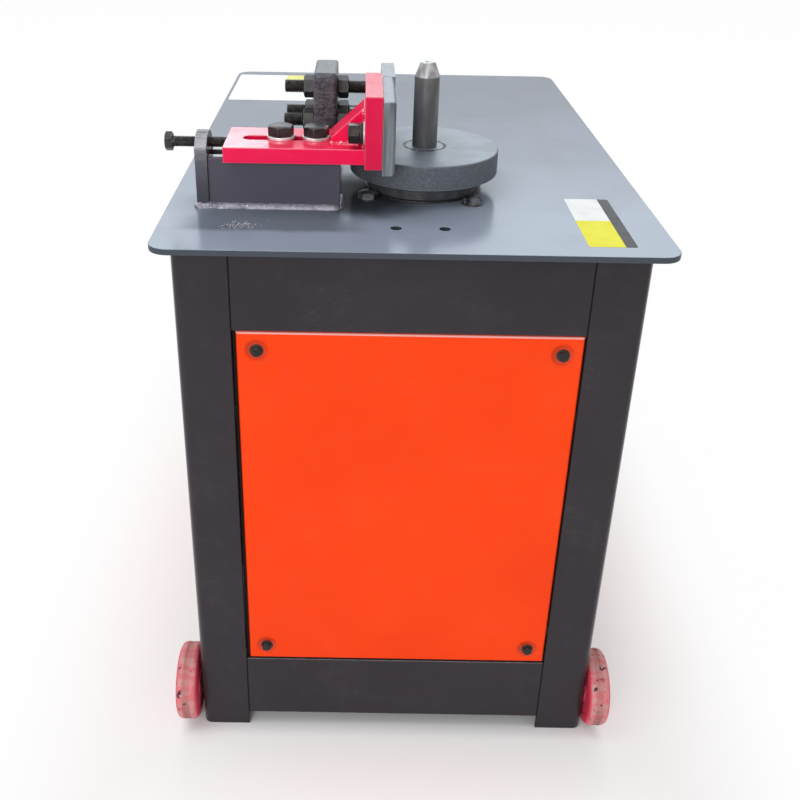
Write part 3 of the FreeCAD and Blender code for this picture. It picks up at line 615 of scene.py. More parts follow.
def oxide(finish, polish_and_sheen=0.0):
    """Black oxide, oily, rubbed bright on corners and crests; where asked, pale patches that are partly rubbed
    steel and partly a painted sheen.
    """
    black = finish.colours.blackened
    mottle = finish.noise(95.0, 5.0)
    rubbed = (finish.edges(finish.wear.edge_width * 0.6) * finish.noise(160.0, 3.0)).between(0.30, 0.62)
    hue = finish.mix(
        scaled(black, 0.45), (lighter(black, 0.012), mottle.between(0.3, 0.7)),
        # Pale patches: partly rubbed steel, partly a painted sheen.
        ((0.34, 0.36, 0.40), polish_and_sheen * mottle.between(0.35, 0.60)),
        (finish.colours.rust, finish.noise(60.0, 5.0).between(0.62, 0.72) * finish.wear.rust),
        (finish.colours.bare, rubbed * 0.7))
    return finish.shade(base_color=hue, metallic=0.35 + rubbed * 0.5, ior=1.52,
                        roughness=0.34 + mottle * 0.14, normal=finish.bump(mottle, 0.00018, 0.6))


def black_oxide(finish):
    """Deep black screws with a faint bronze bloom."""
    bloom = finish.noise(140.0, 4.0)
    edges = finish.edges(finish.wear.edge_width * 0.5)
    hue = finish.mix((0.008, 0.007, 0.007), ((0.022, 0.018, 0.016), bloom.between(0.35, 0.7)),
                     ((0.30, 0.28, 0.27), edges * bloom * 0.7))
    return finish.shade(base_color=hue, roughness=0.30 + bloom * 0.15, specular_ior_level=0.30,
                        normal=finish.bump(bloom, 0.00015, 0.6))


def black_foam(finish):
    """Sealing foam with open pores."""
    pores = finish.noise(700.0, 3.0)
    return finish.shade(
        base_color=finish.mix((0.004, 0.003, 0.003), ((0.020, 0.010, 0.010), pores.between(0.35, 0.65))),
        roughness=0.85, specular_ior_level=0.2, normal=finish.bump(pores, 0.0006, 0.8))


def zinc_plate(finish):
    """Bright zinc with a spangle, gone dull in patches."""
    spangle = finish.noise(210.0, 4.0)
    dull = finish.noise(48.0, 4.0).between(0.42, 0.68)
    return finish.shade(base_color=finish.mix(finish.colours.zinc, (scaled(finish.colours.zinc, 0.55), dull)),
                        metallic=0.60 - dull * 0.3, roughness=0.28 + spangle * 0.18,
                        normal=finish.bump(spangle, 0.00008, 0.5))


def forged_black(finish):
    """Hammer scale under oil: deep pits, dents and slightly rubbed corners."""
    pits = finish.node("TexVoronoi", {"feature": "SMOOTH_F1"},
                       {"Vector": finish.spot, "Scale": 330.0, "Smoothness": 0.6})
    scale = finish.noise(150.0, 5.0)
    dents = finish.noise(38.0, 3.0)
    hue = finish.mix(
        scaled(finish.colours.forged, 0.5), (lighter(finish.colours.forged, 0.03), scale.between(0.35, 0.7)),
        (lighter(finish.colours.forged, 0.20), finish.edges(finish.wear.edge_width) * scale))
    rough = finish.bump(pits * 0.7 + scale, 0.0013, 0.8)
    return finish.shade(base_color=hue, roughness=0.42 + scale * 0.2, coat_weight=0.12 + dents * 0.2,
                        coat_roughness=0.25, normal=finish.bump(dents, 0.0012, 0.6, rough))


def wheel_rubber(finish):
    """Moulded red wheel with a pale scuffed tread, a brown worn band and dark nicks."""
    low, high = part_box("wheel_left")
    radius = (high.z - low.z) / 2
    hubs = middle("wheel_left"), middle("wheel_right")
    axis_y, axis_z = hubs[0].y, hubs[0].z
    reach = finish.distance((0, axis_y, axis_z), finish.vector("MULTIPLY", finish.spot, (0, 1, 1)))
    on_tread = reach.between(radius - 0.0034, radius - 0.0010)
    off_middle = reduce(Value.least, [abs(finish.axis("X") - hub.x) for hub in hubs])
    streaks = finish.noise(70.0, 5.0, (3.0, 0.5, 0.5))
    worn = on_tread * (off_middle + (streaks - 0.5) * 0.012).between(0.0085, 0.0035)
    # The worn band is darker towards the wheel's bottom.
    towards_bottom = finish.axis("Z").between(axis_z + radius * 0.5, axis_z - radius * 0.9)
    big_nicks = finish.noise(84.0, 2.0).between(0.664, 0.676)
    nicks = on_tread * finish.noise(170.0, 3.0).between(0.672, 0.688).most(big_nicks)
    bloom = finish.noise(24.0, 4.0).between(0.35, 0.70)
    scuffs = finish.noise(75.0, 6.0, (0.6, 1.4, 1.4)).between(0.38, 0.62)
    hue = finish.mix(
        scaled(finish.colours.wheel, 0.86), (lighter(finish.colours.wheel, 0.05), bloom),
        (finish.colours.scuffed, on_tread * (0.50 + 0.50 * scuffs)),
        (finish.colours.tread, worn * (0.35 + 0.65 * towards_bottom) * (0.45 + 0.55 * streaks.between(0.3, 0.65))),
        ((0.030, 0.010, 0.010), nicks))
    return finish.shade(base_color=hue, roughness=0.40 + bloom * 0.15 + worn * 0.2,
                        normal=finish.bump(finish.noise(240.0, 4.0) - nicks * 1.5, 0.0004, 0.7))


def plastic(finish, base, roughness=0.28, grain=0.00004):
    """Moulded plastic with a fine spark-eroded texture, polished a little on its edges."""
    tone = getattr(finish.colours, base)
    handled = finish.noise(24.0, 4.0).between(0.4, 0.7)
    edges = finish.edges(0.0012)
    hue = finish.mix(tone, (lighter(tone, 0.05), handled), (lighter(tone, 0.15), edges * 0.4))
    return finish.shade(base_color=hue, roughness=roughness + handled * 0.12 - edges * 0.1,
                        normal=finish.bump(finish.noise(900.0, 2.0), grain, 0.6))


def film(finish, base, *fields):
    """Printed film without words: fields of (colour, limits), a limit being (letter, low, high)."""
    edge = 0.0001
    handled = finish.noise(60.0, 5.0).between(0.45, 0.75)
    hue = base
    for tone, *limits in fields:
        inside = 1.0
        for letter, low, high in limits:
            side = finish.axis(letter)
            inside = side.between(low - edge, low + edge) * side.between(high + edge, high - edge) * inside
        hue = finish.mix(hue, (tone, inside))
    return finish.shade(base_color=finish.mix(hue, ((0.55, 0.54, 0.52), handled * 0.12)),
                        roughness=0.45 + handled * 0.2, specular_ior_level=0.05,
                        coat_weight=0.06 - handled * 0.05,
                        normal=finish.bump(finish.noise(28.0, 3.0), 0.0003, 0.5))


def table_sticker(finish):
    """White film with a yellow field at its front and a dark strip along its right-hand edge."""
    spec = bpy.context.scene.bender_sticker
    left, front = table_corner()
    yellow_end = front + spec.from_front + spec.yellow_depth
    strip_start = left + spec.from_left + spec.width - spec.strip
    return film(finish, finish.colours.sticker_white, (finish.colours.sticker_yellow, ("Y", -1.0, yellow_end)),
                (finish.colours.sticker_dark, ("X", strip_start, 1.0)))


def plain_sheet(finish):
    """White film with a pale yellow field in its right rear corner."""
    spec = bpy.context.scene.bender_sticker
    left, front = table_corner()
    right = left + spec.sheet_from_left + spec.sheet_width
    rear = front + spec.sheet_from_front + spec.sheet_depth
    return film(finish, finish.colours.sheet_white,
                (lighter(finish.colours.sticker_yellow, 0.25), ("X", right - spec.corner_width, right),
                 ("Y", rear - spec.corner_depth, rear)))


# line and crest set how light the painted highlights along edges are.
red = partial(paint, base="red", roughness=0.28, peel=0.00020, chips=0.2, line=0.50, crest=0.62, spread=1.5)

FINISHES = {
    "table_paint": table_paint,
    "body_paint": partial(paint, base="body", roughness=0.34, coat=0.75, line=0.24, crest=0.75,
                          seams=leg_seams),
    # The slide block and upright take the lighter copy of the charcoal, painted light; the upright adds a
    # painted highlight on its crown.
    "block_paint": partial(paint, base="block", roughness=0.36, coat=0.80, line=0.30, crest=0.4),
    "upright_paint": partial(paint, base="block", depth=0.70, roughness=0.40, coat=0.45, line=0.30, crest=0.4,
                             cut=flame_cut_highlight),
    "cover_paint": partial(paint, base="cover", roughness=0.36, coat=0.40, peel=0.00016, chips=0.2, line=0.25,
                           crest=0.55, dents=cover_dimples_and_highlight),
    "red_paint": partial(red, coat=0.50, shine=bar_shine),
    # A darker copy of the carriage red for the stop plate: painted shade on its front face.
    "stop_paint": partial(red, coat=0.46, depth=0.74),
    "red_weld": red_weld,
    "grey_paint": partial(paint, base="grey", roughness=0.40, coat=0.35),
    "weld_paint": weld_paint,
    "machined_steel": machined_steel,
    "ground_steel": ground_steel,
    "pin_steel": pin_steel,
    "cast_iron": cast_iron,
    "bolt_steel": oxide,
    # Flange bolts: oxide with pale patches, partly rubbed steel and partly a painted sheen.
    "flange_steel": partial(oxide, polish_and_sheen=0.45),
    "black_oxide": black_oxide,
    "black_foam": black_foam,
    "zinc_plate": zinc_plate,
    "forged_black": forged_black,
    "wheel_rubber": wheel_rubber,
    "station_plastic": partial(plastic, base="station", roughness=0.46, grain=0.00012),
    "button_green": partial(plastic, base="forward"),
    "button_red": partial(plastic, base="stop"),
    "button_black": partial(plastic, base="reverse"),
    "table_sticker": table_sticker,
    "plain_sheet": plain_sheet,
}


def finish_named(name):
    """A finish made once and used again."""
    found = bpy.data.materials.get(finish_label(name))
    if found is None:
        found = FINISHES[name](Finish(name))
    return found


# Places read from the frame
def middle(node):
    low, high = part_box(node)
    return (low + high) / 2


def table_corner():
    """Left and front of the table plate."""
    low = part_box("table_plate")[0]
    return low.x, low.y


def along(axis, start, spin=0.0):
    """Lays a shape made along Z onto an axis, with its foot at start."""
    tilt = UP.rotation_difference(axis).to_matrix().to_4x4()
    return Matrix.Translation(start) @ tilt @ Matrix.Rotation(spin, 4, "Z")


def above(lay, height):
    """The same lay, further along its axis."""
    return lay @ Matrix.Translation((0, 0, height))


# Mesh work
def ring(radius, height, steps):
    """Points round the Z axis at one height, or one point on it."""
    if radius == 0.0:
        return [(0.0, 0.0, height)]
    angles = [2 * math.pi * i / steps for i in range(steps)]
    return [(radius * math.cos(a), radius * math.sin(a), height) for a in angles]


def outline(low, high, corner, height, steps=3, inset=0.0):
    """Points round a rectangle with rounded corners, at one height."""
    radius = corner - inset
    points = []
    for x, y, start in ((high[0] - corner, high[1] - corner, 0), (low[0] + corner, high[1] - corner, 90),
                        (low[0] + corner, low[1] + corner, 180), (high[0] - corner, low[1] + corner, 270)):
        for i in range(steps + 1):
            angle = math.radians(start + 90 * i / steps)
            points.append((x + radius * math.cos(angle), y + radius * math.sin(angle), height))
    return points


def skin(mesh, rings, place=Matrix.Identity(4)):
    """Joins rings of points into one surface; a ring of one point closes an end."""
    rows = [[mesh.verts.new(place @ Vector(p)) for p in points] for points in rings]
    for low, high in zip(rows, rows[1:]):
        steps = max(len(low), len(high))
        for i in range(steps):
            j = (i + 1) % steps
            corners = [low[i % len(low)], low[j % len(low)], high[j % len(high)], high[i % len(high)]]
            mesh.faces.new(list(dict.fromkeys(corners)))


def lathe(mesh, profile, place=Matrix.Identity(4), steps=64):
    """Turned shape from (radius, height) pairs."""
    skin(mesh, [ring(radius, height, steps) for radius, height in profile], place)


def arc(radius, height, size, start, end, steps=6):
    """Profile points on an arc round (radius, height), angles in degrees from outward to upward."""
    angles = [math.radians(start + (end - start) * i / steps) for i in range(steps + 1)]
    return [(radius + size * math.cos(a), height + size * math.sin(a)) for a in angles]


def hexagon(mesh, flats, height, place, bore=0.0, both_ends=False, steps=48):
    """Hexagon head or nut whose corners are broken by a cone at its top, and at its foot if asked."""
    slope = math.tan(bpy.context.scene.bender_fasteners.chamfer)
    round_radius = flats * 0.475
    angles = [2 * math.pi * i / steps for i in range(steps)]
    reaches = [flats / 2 / math.cos((a + math.pi / 6) % (math.pi / 3) - math.pi / 6) for a in angles]
    drops = [(reach - round_radius) * slope for reach in reaches]
    foot = drops if both_ends else [0.0] * steps
    top = [height - drop for drop in drops]
    rings = [[(r * math.cos(a), r * math.sin(a), h) for r, a, h in zip(reaches, angles, heights)]
             for heights in (foot, top)]
    rings.append(ring(round_radius, height, steps))
    if both_ends:
        rings.insert(0, ring(round_radius, 0.0, steps))
    if bore:
        lead = bore * 1.12
        break_depth = lead - bore
        inside = ring(bore, break_depth, steps)
        rings = [inside, ring(lead, 0.0, steps), *rings, ring(lead, height, steps),
                 ring(bore, height - break_depth, steps), inside]
    else:
        rings = [ring(0.0, 0.0, steps), *rings, ring(0.0, height, steps)]
    skin(mesh, rings, place)


def thread(mesh, radius, pitch, run, place, steps=28, rows=6):
    """Rod with a helical thread, its ends chamfered."""
    depth = 0.60 * pitch
    count = round(run / pitch * rows)
    rings = [ring(0.0, 0.0, steps)]
    for k in range(count + 1):
        height = run * k / count
        limit = radius - depth * 0.9 + min(height, run - height)
        points = []
        for i in range(steps):
            phase = (height / pitch - i / steps) % 1.0
            crest = min(1.0, abs(2 * phase - 1) * 1.25)
            reach = min(radius - depth * (1 - crest), limit)
            angle = 2 * math.pi * i / steps
            points.append((reach * math.cos(angle), reach * math.sin(angle), height))
        rings.append(points)
    rings.append(ring(0.0, run, steps))
    skin(mesh, rings, place)


def weld(mesh, start, end, outward, upward, size, lumps=0.0, seed=0.0, steps=14):
    """Bead along a root line: overlapping scales with uneven swell and rounded ends."""
    ripple = bpy.context.scene.bender_welds.ripple
    start, end = Vector(start), Vector(end)
    run = end - start
    forward = run.normalized()
    width, height = size
    count = max(8, round(run.length / ripple * 6))
    rings = [[tuple(start)]]
    for k in range(1, count):
        travel = run.length * k / count
        scale = (travel / ripple + 0.25 * noise.noise(Vector((travel * 90, seed, 0)))) % 1.0
        uneven = noise.noise(Vector((travel * 120, seed, 3.0)))
        swell = 0.92 + 0.09 * scale + 0.09 * uneven
        swell += lumps * max(0.0, 1 - travel / run.length * 4) * (0.5 + uneven)
        ends = min(1.0, travel / width, (run.length - travel) / width)
        swell *= math.sqrt(max(0.02, 1 - (1 - ends) ** 2))
        points = []
        for i in range(steps):
            angle = 2 * math.pi * i / steps
            lean = ripple * 0.6 * max(0.0, math.sin(angle * 2))
            spot = (start + forward * (travel - lean) + outward * (width * swell * math.cos(angle))
                    + upward * (height * swell * math.sin(angle)))
            points.append(tuple(spot))
        rings.append(points)
    rings.append([tuple(end)])
    skin(mesh, rings)


def rounded_block(mesh, low, high, radius, cell):
    """Box of small squares with rounded edges and corners."""
    inner_low = low + Vector((radius,) * 3)
    inner_high = high - Vector((radius,) * 3)
    for axis in range(3):
        across, over = (axis + 1) % 3, (axis + 2) % 3
        columns = max(2, round((high[across] - low[across]) / cell))
        rows = max(2, round((high[over] - low[over]) / cell))
        for side in (low[axis], high[axis]):
            grid = []
            for j in range(rows + 1):
                line = []
                for i in range(columns + 1):
                    spot = Vector((0, 0, 0))
                    spot[axis] = side
                    spot[across] = low[across] + (high[across] - low[across]) * i / columns
                    spot[over] = low[over] + (high[over] - low[over]) * j / rows
                    core = Vector(min(max(spot[n], inner_low[n]), inner_high[n]) for n in range(3))
                    line.append(mesh.verts.new(core + (spot - core).normalized() * radius))
                grid.append(line)
            for j in range(rows):
                for i in range(columns):
                    mesh.faces.new((grid[j][i], grid[j][i + 1], grid[j + 1][i + 1], grid[j + 1][i]))


def piece(name, mesh, body, finish, stands_for=(), sharp=35.0):
    """Makes an object of the mesh, rides it on a body and hides the carried-over parts it stands for."""
    bmesh.ops.remove_doubles(mesh, verts=mesh.verts, dist=1e-6)
    bmesh.ops.recalc_face_normals(mesh, faces=mesh.faces)
    data = bpy.data.meshes.new(name)
    mesh.to_mesh(data)
    mesh.free()
    data.shade_smooth()
    data.set_sharp_from_angle(angle=math.radians(sharp))
    made = bpy.data.objects.new(name, data)
    bpy.context.scene.collection.objects.link(made)
    data.materials.append(finish_named(finish))
    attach(made, body)
    if stands_for:
        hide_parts(*stands_for)


def whole_faces():
    """Modifier group that joins a mesh's corners, drops its stored normals and shades it smooth."""
    name = "whole faces"
    found = bpy.data.node_groups.get(name)
    if found:
        return found
    group = bpy.data.node_groups.new(name, "GeometryNodeTree")
    for way in ("INPUT", "OUTPUT"):
        group.interface.new_socket("Geometry", in_out=way, socket_type="NodeSocketGeometry")
    last = group.nodes.new("NodeGroupInput")
    for kind, socket, value in (("MergeByDistance", "Distance", 1e-6),
                                ("RemoveAttribute", "Name", "custom_normal"),
                                ("SetShadeSmooth", "Shade Smooth", True)):
        node = group.nodes.new("GeometryNode" + kind)
        node.inputs[socket].default_value = value
        group.links.new(last.outputs[0], node.inputs[0])
        last = node
    group.links.new(last.outputs[0], group.nodes.new("NodeGroupOutput").inputs[0])
    return group


def dress(nodes, finish, softening=None, segments=2):
    """Gives carried-over nodes a finish, and broken edges where a softening is named."""
    for name in nodes:
        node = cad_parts[name]
        for slot in node.material_slots:
            slot.material = finish_named(finish)
        node.modifiers.new("whole faces", "NODES").node_group = whole_faces()
        if not softening:
            node.modifiers.new("sharp corners", "EDGE_SPLIT").split_angle = math.radians(34)
            continue
        flat = node.modifiers.new("flat faces", "DECIMATE")
        flat.decimate_type = "DISSOLVE"
        flat.angle_limit = math.radians(0.5)
        broken = node.modifiers.new("broken edges", "BEVEL")
        broken.width = getattr(bpy.context.scene.bender_softening, softening)
        broken.segments = segments
        broken.limit_method = "ANGLE"
        broken.angle_limit = math.radians(32)
        broken.harden_normals = True


class BenderOperator:
    """What every operator of this add-on shares."""
    bl_options = {"REGISTER", "UNDO"}


# Body
class BENDER_OT_table(BenderOperator, Operator):
    """Finish the table plate and stick the two plain sheets to it"""
    bl_idname = "bender.table"
    bl_label = "Table and sheets"

    def execute(self, context):
        dress(["table_plate"], "table_paint", "plate")
        spec = context.scene.bender_sticker
        left, front = table_corner()
        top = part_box("table_plate")[1].z
        for name, from_left, from_front, width, depth in (
                ("table_sticker", spec.from_left, spec.from_front, spec.width, spec.depth),
                ("plain_sheet", spec.sheet_from_left, spec.sheet_from_front, spec.sheet_width,
                 spec.sheet_depth)):
            mesh = bmesh.new()
            corner = Vector((left + from_left, front + from_front, top))
            self.lay(mesh, corner, corner + Vector((width, depth, spec.thickness)))
            piece(name, mesh, "table", name, sharp=5.0)
        return {"FINISHED"}

    def lay(self, mesh, low, high, corner=0.003):
        """Thin sheet with rounded corners and a curled-down edge."""
        level = partial(outline, low, high, corner, steps=5)
        centre = (low + high) / 2
        thick = high.z - low.z
        skin(mesh, [[(centre.x, centre.y, low.z)], level(low.z), level(low.z + thick * 0.7),
                    level(high.z, inset=thick), [(centre.x, centre.y, high.z)]])


class BENDER_OT_body(BenderOperator, Operator):
    """Paint the welded body and break its edges"""
    bl_idname = "bender.body"
    bl_label = "Body"

    def execute(self, context):
        dress(["leg_front_left", "leg_front_right", "leg_rear_left", "leg_rear_right", "top_rails",
               "bottom_rails", "cover_tabs"], "body_paint", "sheet")
        return {"FINISHED"}


class BENDER_OT_covers(BenderOperator, Operator):
    """Paint the four covers and set a flanged bolt at each of their corners"""
    bl_idname = "bender.covers"
    bl_label = "Covers and their bolts"

    def execute(self, context):
        spec = context.scene.bender_fasteners
        for name, outward in (("front", -ALONG_Y), ("rear", ALONG_Y), ("left", -ALONG_X), ("right", ALONG_X)):
            node = "cover_" + name
            dress([node], "cover_paint", "sheet")
            low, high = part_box(node)
            centre = (low + high) / 2
            half = (high - low) / 2
            sideways = outward.cross(UP)
            reach = abs(half.dot(sideways)) - spec.cover_inset
            face = centre + outward * abs(half.dot(outward))
            mesh = bmesh.new()
            for side in SIDES:
                for end in SIDES:
                    foot = face + sideways * (side * reach) + UP * (end * (half.z - spec.cover_inset))
                    self.bolt(mesh, spec, along(outward, foot, side + 2.0 * end))
            piece("cover_bolts_" + name, mesh, "table", "black_oxide")
        self.seals()
        return {"FINISHED"}

    def seals(self):
        """Foam strips that close the joints between the covers and the legs."""
        mesh = bmesh.new()
        front_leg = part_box("leg_front_left")[1]
        rear_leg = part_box("leg_rear_right")[0]
        recess, depth = 0.0040, 0.0050
        for name, across, outside in (("front", 0, -1), ("rear", 0, 1), ("left", 1, -1), ("right", 1, 1)):
            low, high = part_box("cover_" + name)
            through = 1 - across
            face = low[through] + recess if outside < 0 else high[through] - recess - depth
            for start, end in ((front_leg[across], low[across]), (high[across], rear_leg[across])):
                order = slice(None, None, -1 if across else 1)
                self.strip(mesh, (start, face)[order], (end, face + depth)[order], low.z, high.z)
        piece("cover_seals", mesh, "table", "black_foam")

    def strip(self, mesh, low, high, foot, top):
        """Upright strip with rounded corners between two plan corners."""
        corner = min(high[0] - low[0], high[1] - low[1]) * 0.3
        centre = ((low[0] + high[0]) / 2, (low[1] + high[1]) / 2)
        skin(mesh, [[(*centre, foot)], outline(low, high, corner, foot), outline(low, high, corner, top),
                    [(*centre, top)]])

    def bolt(self, mesh, spec, at):
        """Hexagon on a domed flange, standing on the sheet."""
        flange = spec.cover_flange
        lathe(mesh, [(0.0, -0.0008), (flange, -0.0008), (flange, 0.0004), (flange * 0.96, 0.0009),
                     (flange * 0.72, 0.0016), (0.0, 0.0017)], at, 40)
        hexagon(mesh, spec.cover_flats, spec.cover_head, above(at, 0.0012))


# Wheels
class BENDER_OT_wheels(BenderOperator, Operator):
    """Mould the two transport wheels, and make their axle ends with washers and nuts"""
    bl_idname = "bender.wheels"
    bl_label = "Transport wheels"

    def execute(self, context):
        spec = context.scene.bender_wheels
        axles = bmesh.new()
        for name, outward in (("wheel_left", -ALONG_X), ("wheel_right", ALONG_X)):
            low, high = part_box(name)
            inner = middle(name) - outward * ((high.x - low.x) / 2)
            mesh = bmesh.new()
            self.wheel(mesh, spec, (high.z - low.z) / 2, high.x - low.x, along(outward, inner))
            piece(name + "_moulded", mesh, name, "wheel_rubber", [name])
            self.axle(axles, inner, outward)
        piece("wheel_axles_turned", axles, "table", "bolt_steel", ["wheel_axles"])
        return {"FINISHED"}

    def wheel(self, mesh, spec, radius, width, at):
        """Tread with a shallow groove, and a recess with a raised hub on the outer side."""
        bore, rim, web = 0.01005, 0.042, width - 0.008
        soft, lip = spec.shoulder, spec.rim_edge
        hub, rise = spec.hub, web + spec.hub_rise
        profile = [(bore, web), (bore, rise - 0.0005), (bore + 0.0005, rise), (hub - 0.001, rise),
                   (hub, rise - 0.001), (hub, web)]
        profile += arc(rim - 0.003, web + 0.003, 0.003, -90, 0)
        profile += arc(rim + lip, width - lip, lip, 180, 90)
        profile += arc(radius - soft, width - soft, soft, 90, 0, 8)
        profile += [(radius, width * 0.62), (radius - 0.0004, width * 0.60), (radius - 0.0004, width * 0.40),
                    (radius, width * 0.38)]
        profile += arc(radius - soft, soft, soft, 0, -90, 8)
        profile += [(rim, 0.0), (rim - 0.001, 0.0012), (bore + 0.012, 0.0012), (bore + 0.011, 0.0),
                    (bore, 0.0), (bore, web)]
        lathe(mesh, profile, at, 96)

    def axle(self, mesh, inner, outward):
        """Turned stub with a coned collar at the leg, and a washer and a nut on its end."""
        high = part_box("wheel_axles")[1]
        leg_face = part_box("leg_front_right")[1].x
        tip = high.x - leg_face
        at = along(outward, (outward.x * leg_face, inner.y, inner.z))
        washer = tip - 0.0075
        lathe(mesh, [(0.0, 0.0), (0.0135, 0.0), (0.0118, 0.0022), (0.0100, 0.0032), (0.0100, washer),
                     (0.0148, washer), (0.0150, washer + 0.0004), (0.0150, washer + 0.0020),
                     (0.0146, washer + 0.0025), (0.0, washer + 0.0025)], at, 48)
        hexagon(mesh, FASTENERS["M16"][0], 0.005, above(at, washer + 0.0025))


# Spindle
class BENDER_OT_spindle(BenderOperator, Operator):
    """Finish the disc and shaft, and turn the centre pin"""
    bl_idname = "bender.spindle"
    bl_label = "Disc, shaft and pin"

    def execute(self, context):
        dress(["work_disc", "main_shaft"], "machined_steel", "turned")
        dress(["disc_key"], "machined_steel")
        low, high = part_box("centre_pin")
        centre = middle("centre_pin")
        radius = (high.x - low.x) / 2
        total = high.z - low.z
        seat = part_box("work_disc")[1].z - low.z
        cone = total - 0.0188
        mesh = bmesh.new()
        shank, bevel = 0.0150, 0.0008
        profile = [(0.0, 0.0), (shank - 0.001, 0.0), (shank, 0.001), (shank, seat), (radius - bevel, seat),
                   (radius, seat + bevel)]
        profile += [(radius, cone)] + arc(radius - 0.0015, cone, 0.0015, 0, 22, 3)
        profile += [(0.0101, total - 0.0010), (0.0092, total), (0.0036, total), (0.0031, total - 0.0006),
                    (0.0016, total - 0.0032), (0.0016, total - 0.0052), (0.0, total - 0.0060)]
        lathe(mesh, profile, along(UP, (centre.x, centre.y, low.z)), 96)
        piece("centre_pin_turned", mesh, "spindle", "pin_steel", ["centre_pin"], 20.0)
        return {"FINISHED"}


class BENDER_OT_bearing(BenderOperator, Operator):
    """Finish the dust ring under the disc, with its foot lip, and the four bolts round it"""
    bl_idname = "bender.bearing"
    bl_label = "Bearing cover and bolts"

    def execute(self, context):
        dress(["bearing_cover"], "cast_iron", "turned")
        low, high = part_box("bearing_cover")
        centre = middle("bearing_cover")
        radius = (high.x - low.x) / 2
        mesh = bmesh.new()
        lathe(mesh, [(radius - 0.002, 0.0), (radius + 0.0028, 0.0), (radius + 0.0034, 0.0008),
                     (radius + 0.0032, 0.0026), (radius + 0.0022, 0.0034), (radius - 0.002, 0.0036)],
              along(UP, (centre.x, centre.y, low.z)), 128)
        piece("bearing_cover_lip", mesh, "table", "bolt_steel")
        self.bolts(centre)
        return {"FINISHED"}

    def bolts(self, centre):
        """Bolts where the frame has them, each with a plain washer under its head."""
        low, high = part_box("flange_bolts")
        table_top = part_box("table_plate")[1].z
        flats, radius = FASTENERS["M16"]
        circle, first, washer = 0.0993, math.radians(-50.7), 0.0018
        head_turn = math.radians(50)
        head = high.z - table_top - washer
        shank = low.z - table_top
        mesh = bmesh.new()
        washers = bmesh.new()
        for i in range(4):
            angle = first + i * math.pi / 2
            foot = (centre.x + circle * math.cos(angle), centre.y + circle * math.sin(angle), table_top)
            at = along(UP, foot, angle + head_turn)
            lathe(washers, [(0.0085, 0.0), (0.0138, 0.0), (0.0142, 0.0005), (0.0140, 0.0016),
                            (0.0085, washer)], at, 48)
            hexagon(mesh, flats, head, above(at, washer))
            lathe(mesh, [(0.0, shank), (radius, shank), (radius, 0.001), (0.0, 0.001)], at, 24)
        piece("flange_bolts_made", mesh, "table", "flange_steel", ["flange_bolts"])
        piece("flange_bolt_washers", washers, "table", "bolt_steel")


class BENDER_OT_motor(BenderOperator, Operator):
    """Finish the geared motor under the table"""
    bl_idname = "bender.motor"
    bl_label = "Geared motor"

    def execute(self, context):
        dress(["gear_housing"], "cast_iron", "plate")
        dress(["motor_frame", "fan_cowl", "terminal_box"], "grey_paint", "turned")
        return {"FINISHED"}


# Head
class BENDER_OT_slide_block(BenderOperator, Operator):
    """Paint the slide block and upright, weld them to the table and scatter the spatter"""
    bl_idname = "bender.slide_block"
    bl_label = "Slide block and welds"

    def execute(self, context):
        dress(["slide_block"], "block_paint", "plate")
        dress(["screw_upright"], "upright_paint", "plate")
        dress(["t_nuts"], "bolt_steel", "turned")
        spec = context.scene.bender_welds
        block_low, block_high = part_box("slide_block")
        upright_low, upright_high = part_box("screw_upright")
        mesh = bmesh.new()
        foot = block_low.z
        for side, block_y, upright_y in ((-1, block_low.y, upright_low.y), (1, block_high.y, upright_high.y)):
            outward = ALONG_Y * side
            weld(mesh, (upright_low.x - 0.002, block_y, foot), (block_high.x, block_y, foot), outward, UP,
                 (spec.width, spec.height), 0.5, side * 7.0)
            weld(mesh, (upright_low.x, upright_y, foot), (upright_high.x + 0.001, upright_y, foot), outward,
                 UP, (spec.width * 0.7, spec.height * 0.7), 0.3, side * 3.0)
        for x, outward, low, high in ((block_high.x, ALONG_X, block_low, block_high),
                                      (upright_low.x, -ALONG_X, upright_low, upright_high)):
            weld(mesh, (x, low.y, low.z), (x, high.y, low.z), outward, UP,
                 (spec.width * 0.6, spec.height * 0.6), 0.0, x * 90)
        piece("block_welds", mesh, "table", "weld_paint", sharp=60.0)
        self.spatter(spec)
        return {"FINISHED"}

    def spatter(self, spec):
        """Small solid drops scattered in front of the weld, most of them near its middle."""
        chance = random.Random(11)
        spread_x, spread_y = 0.013, 0.009
        left, front = table_corner()
        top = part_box("table_plate")[1].z
        mesh = bmesh.new()
        for _ in range(spec.spatter):
            size = chance.uniform(0.0003, 0.0009)
            x = left + spec.spatter_at[0] + chance.gauss(0, spread_x)
            y = front + spec.spatter_at[1] + chance.gauss(0, spread_y)
            lathe(mesh, [(0.0, -0.0002), (size * 1.25, -0.0002), (size * 1.1, size * 0.35),
                         (size * 0.7, size * 0.75), (0.0, size * 0.85)], along(UP, (x, y, top)), 8)
        piece("weld_spatter", mesh, "table", "weld_paint", sharp=80.0)


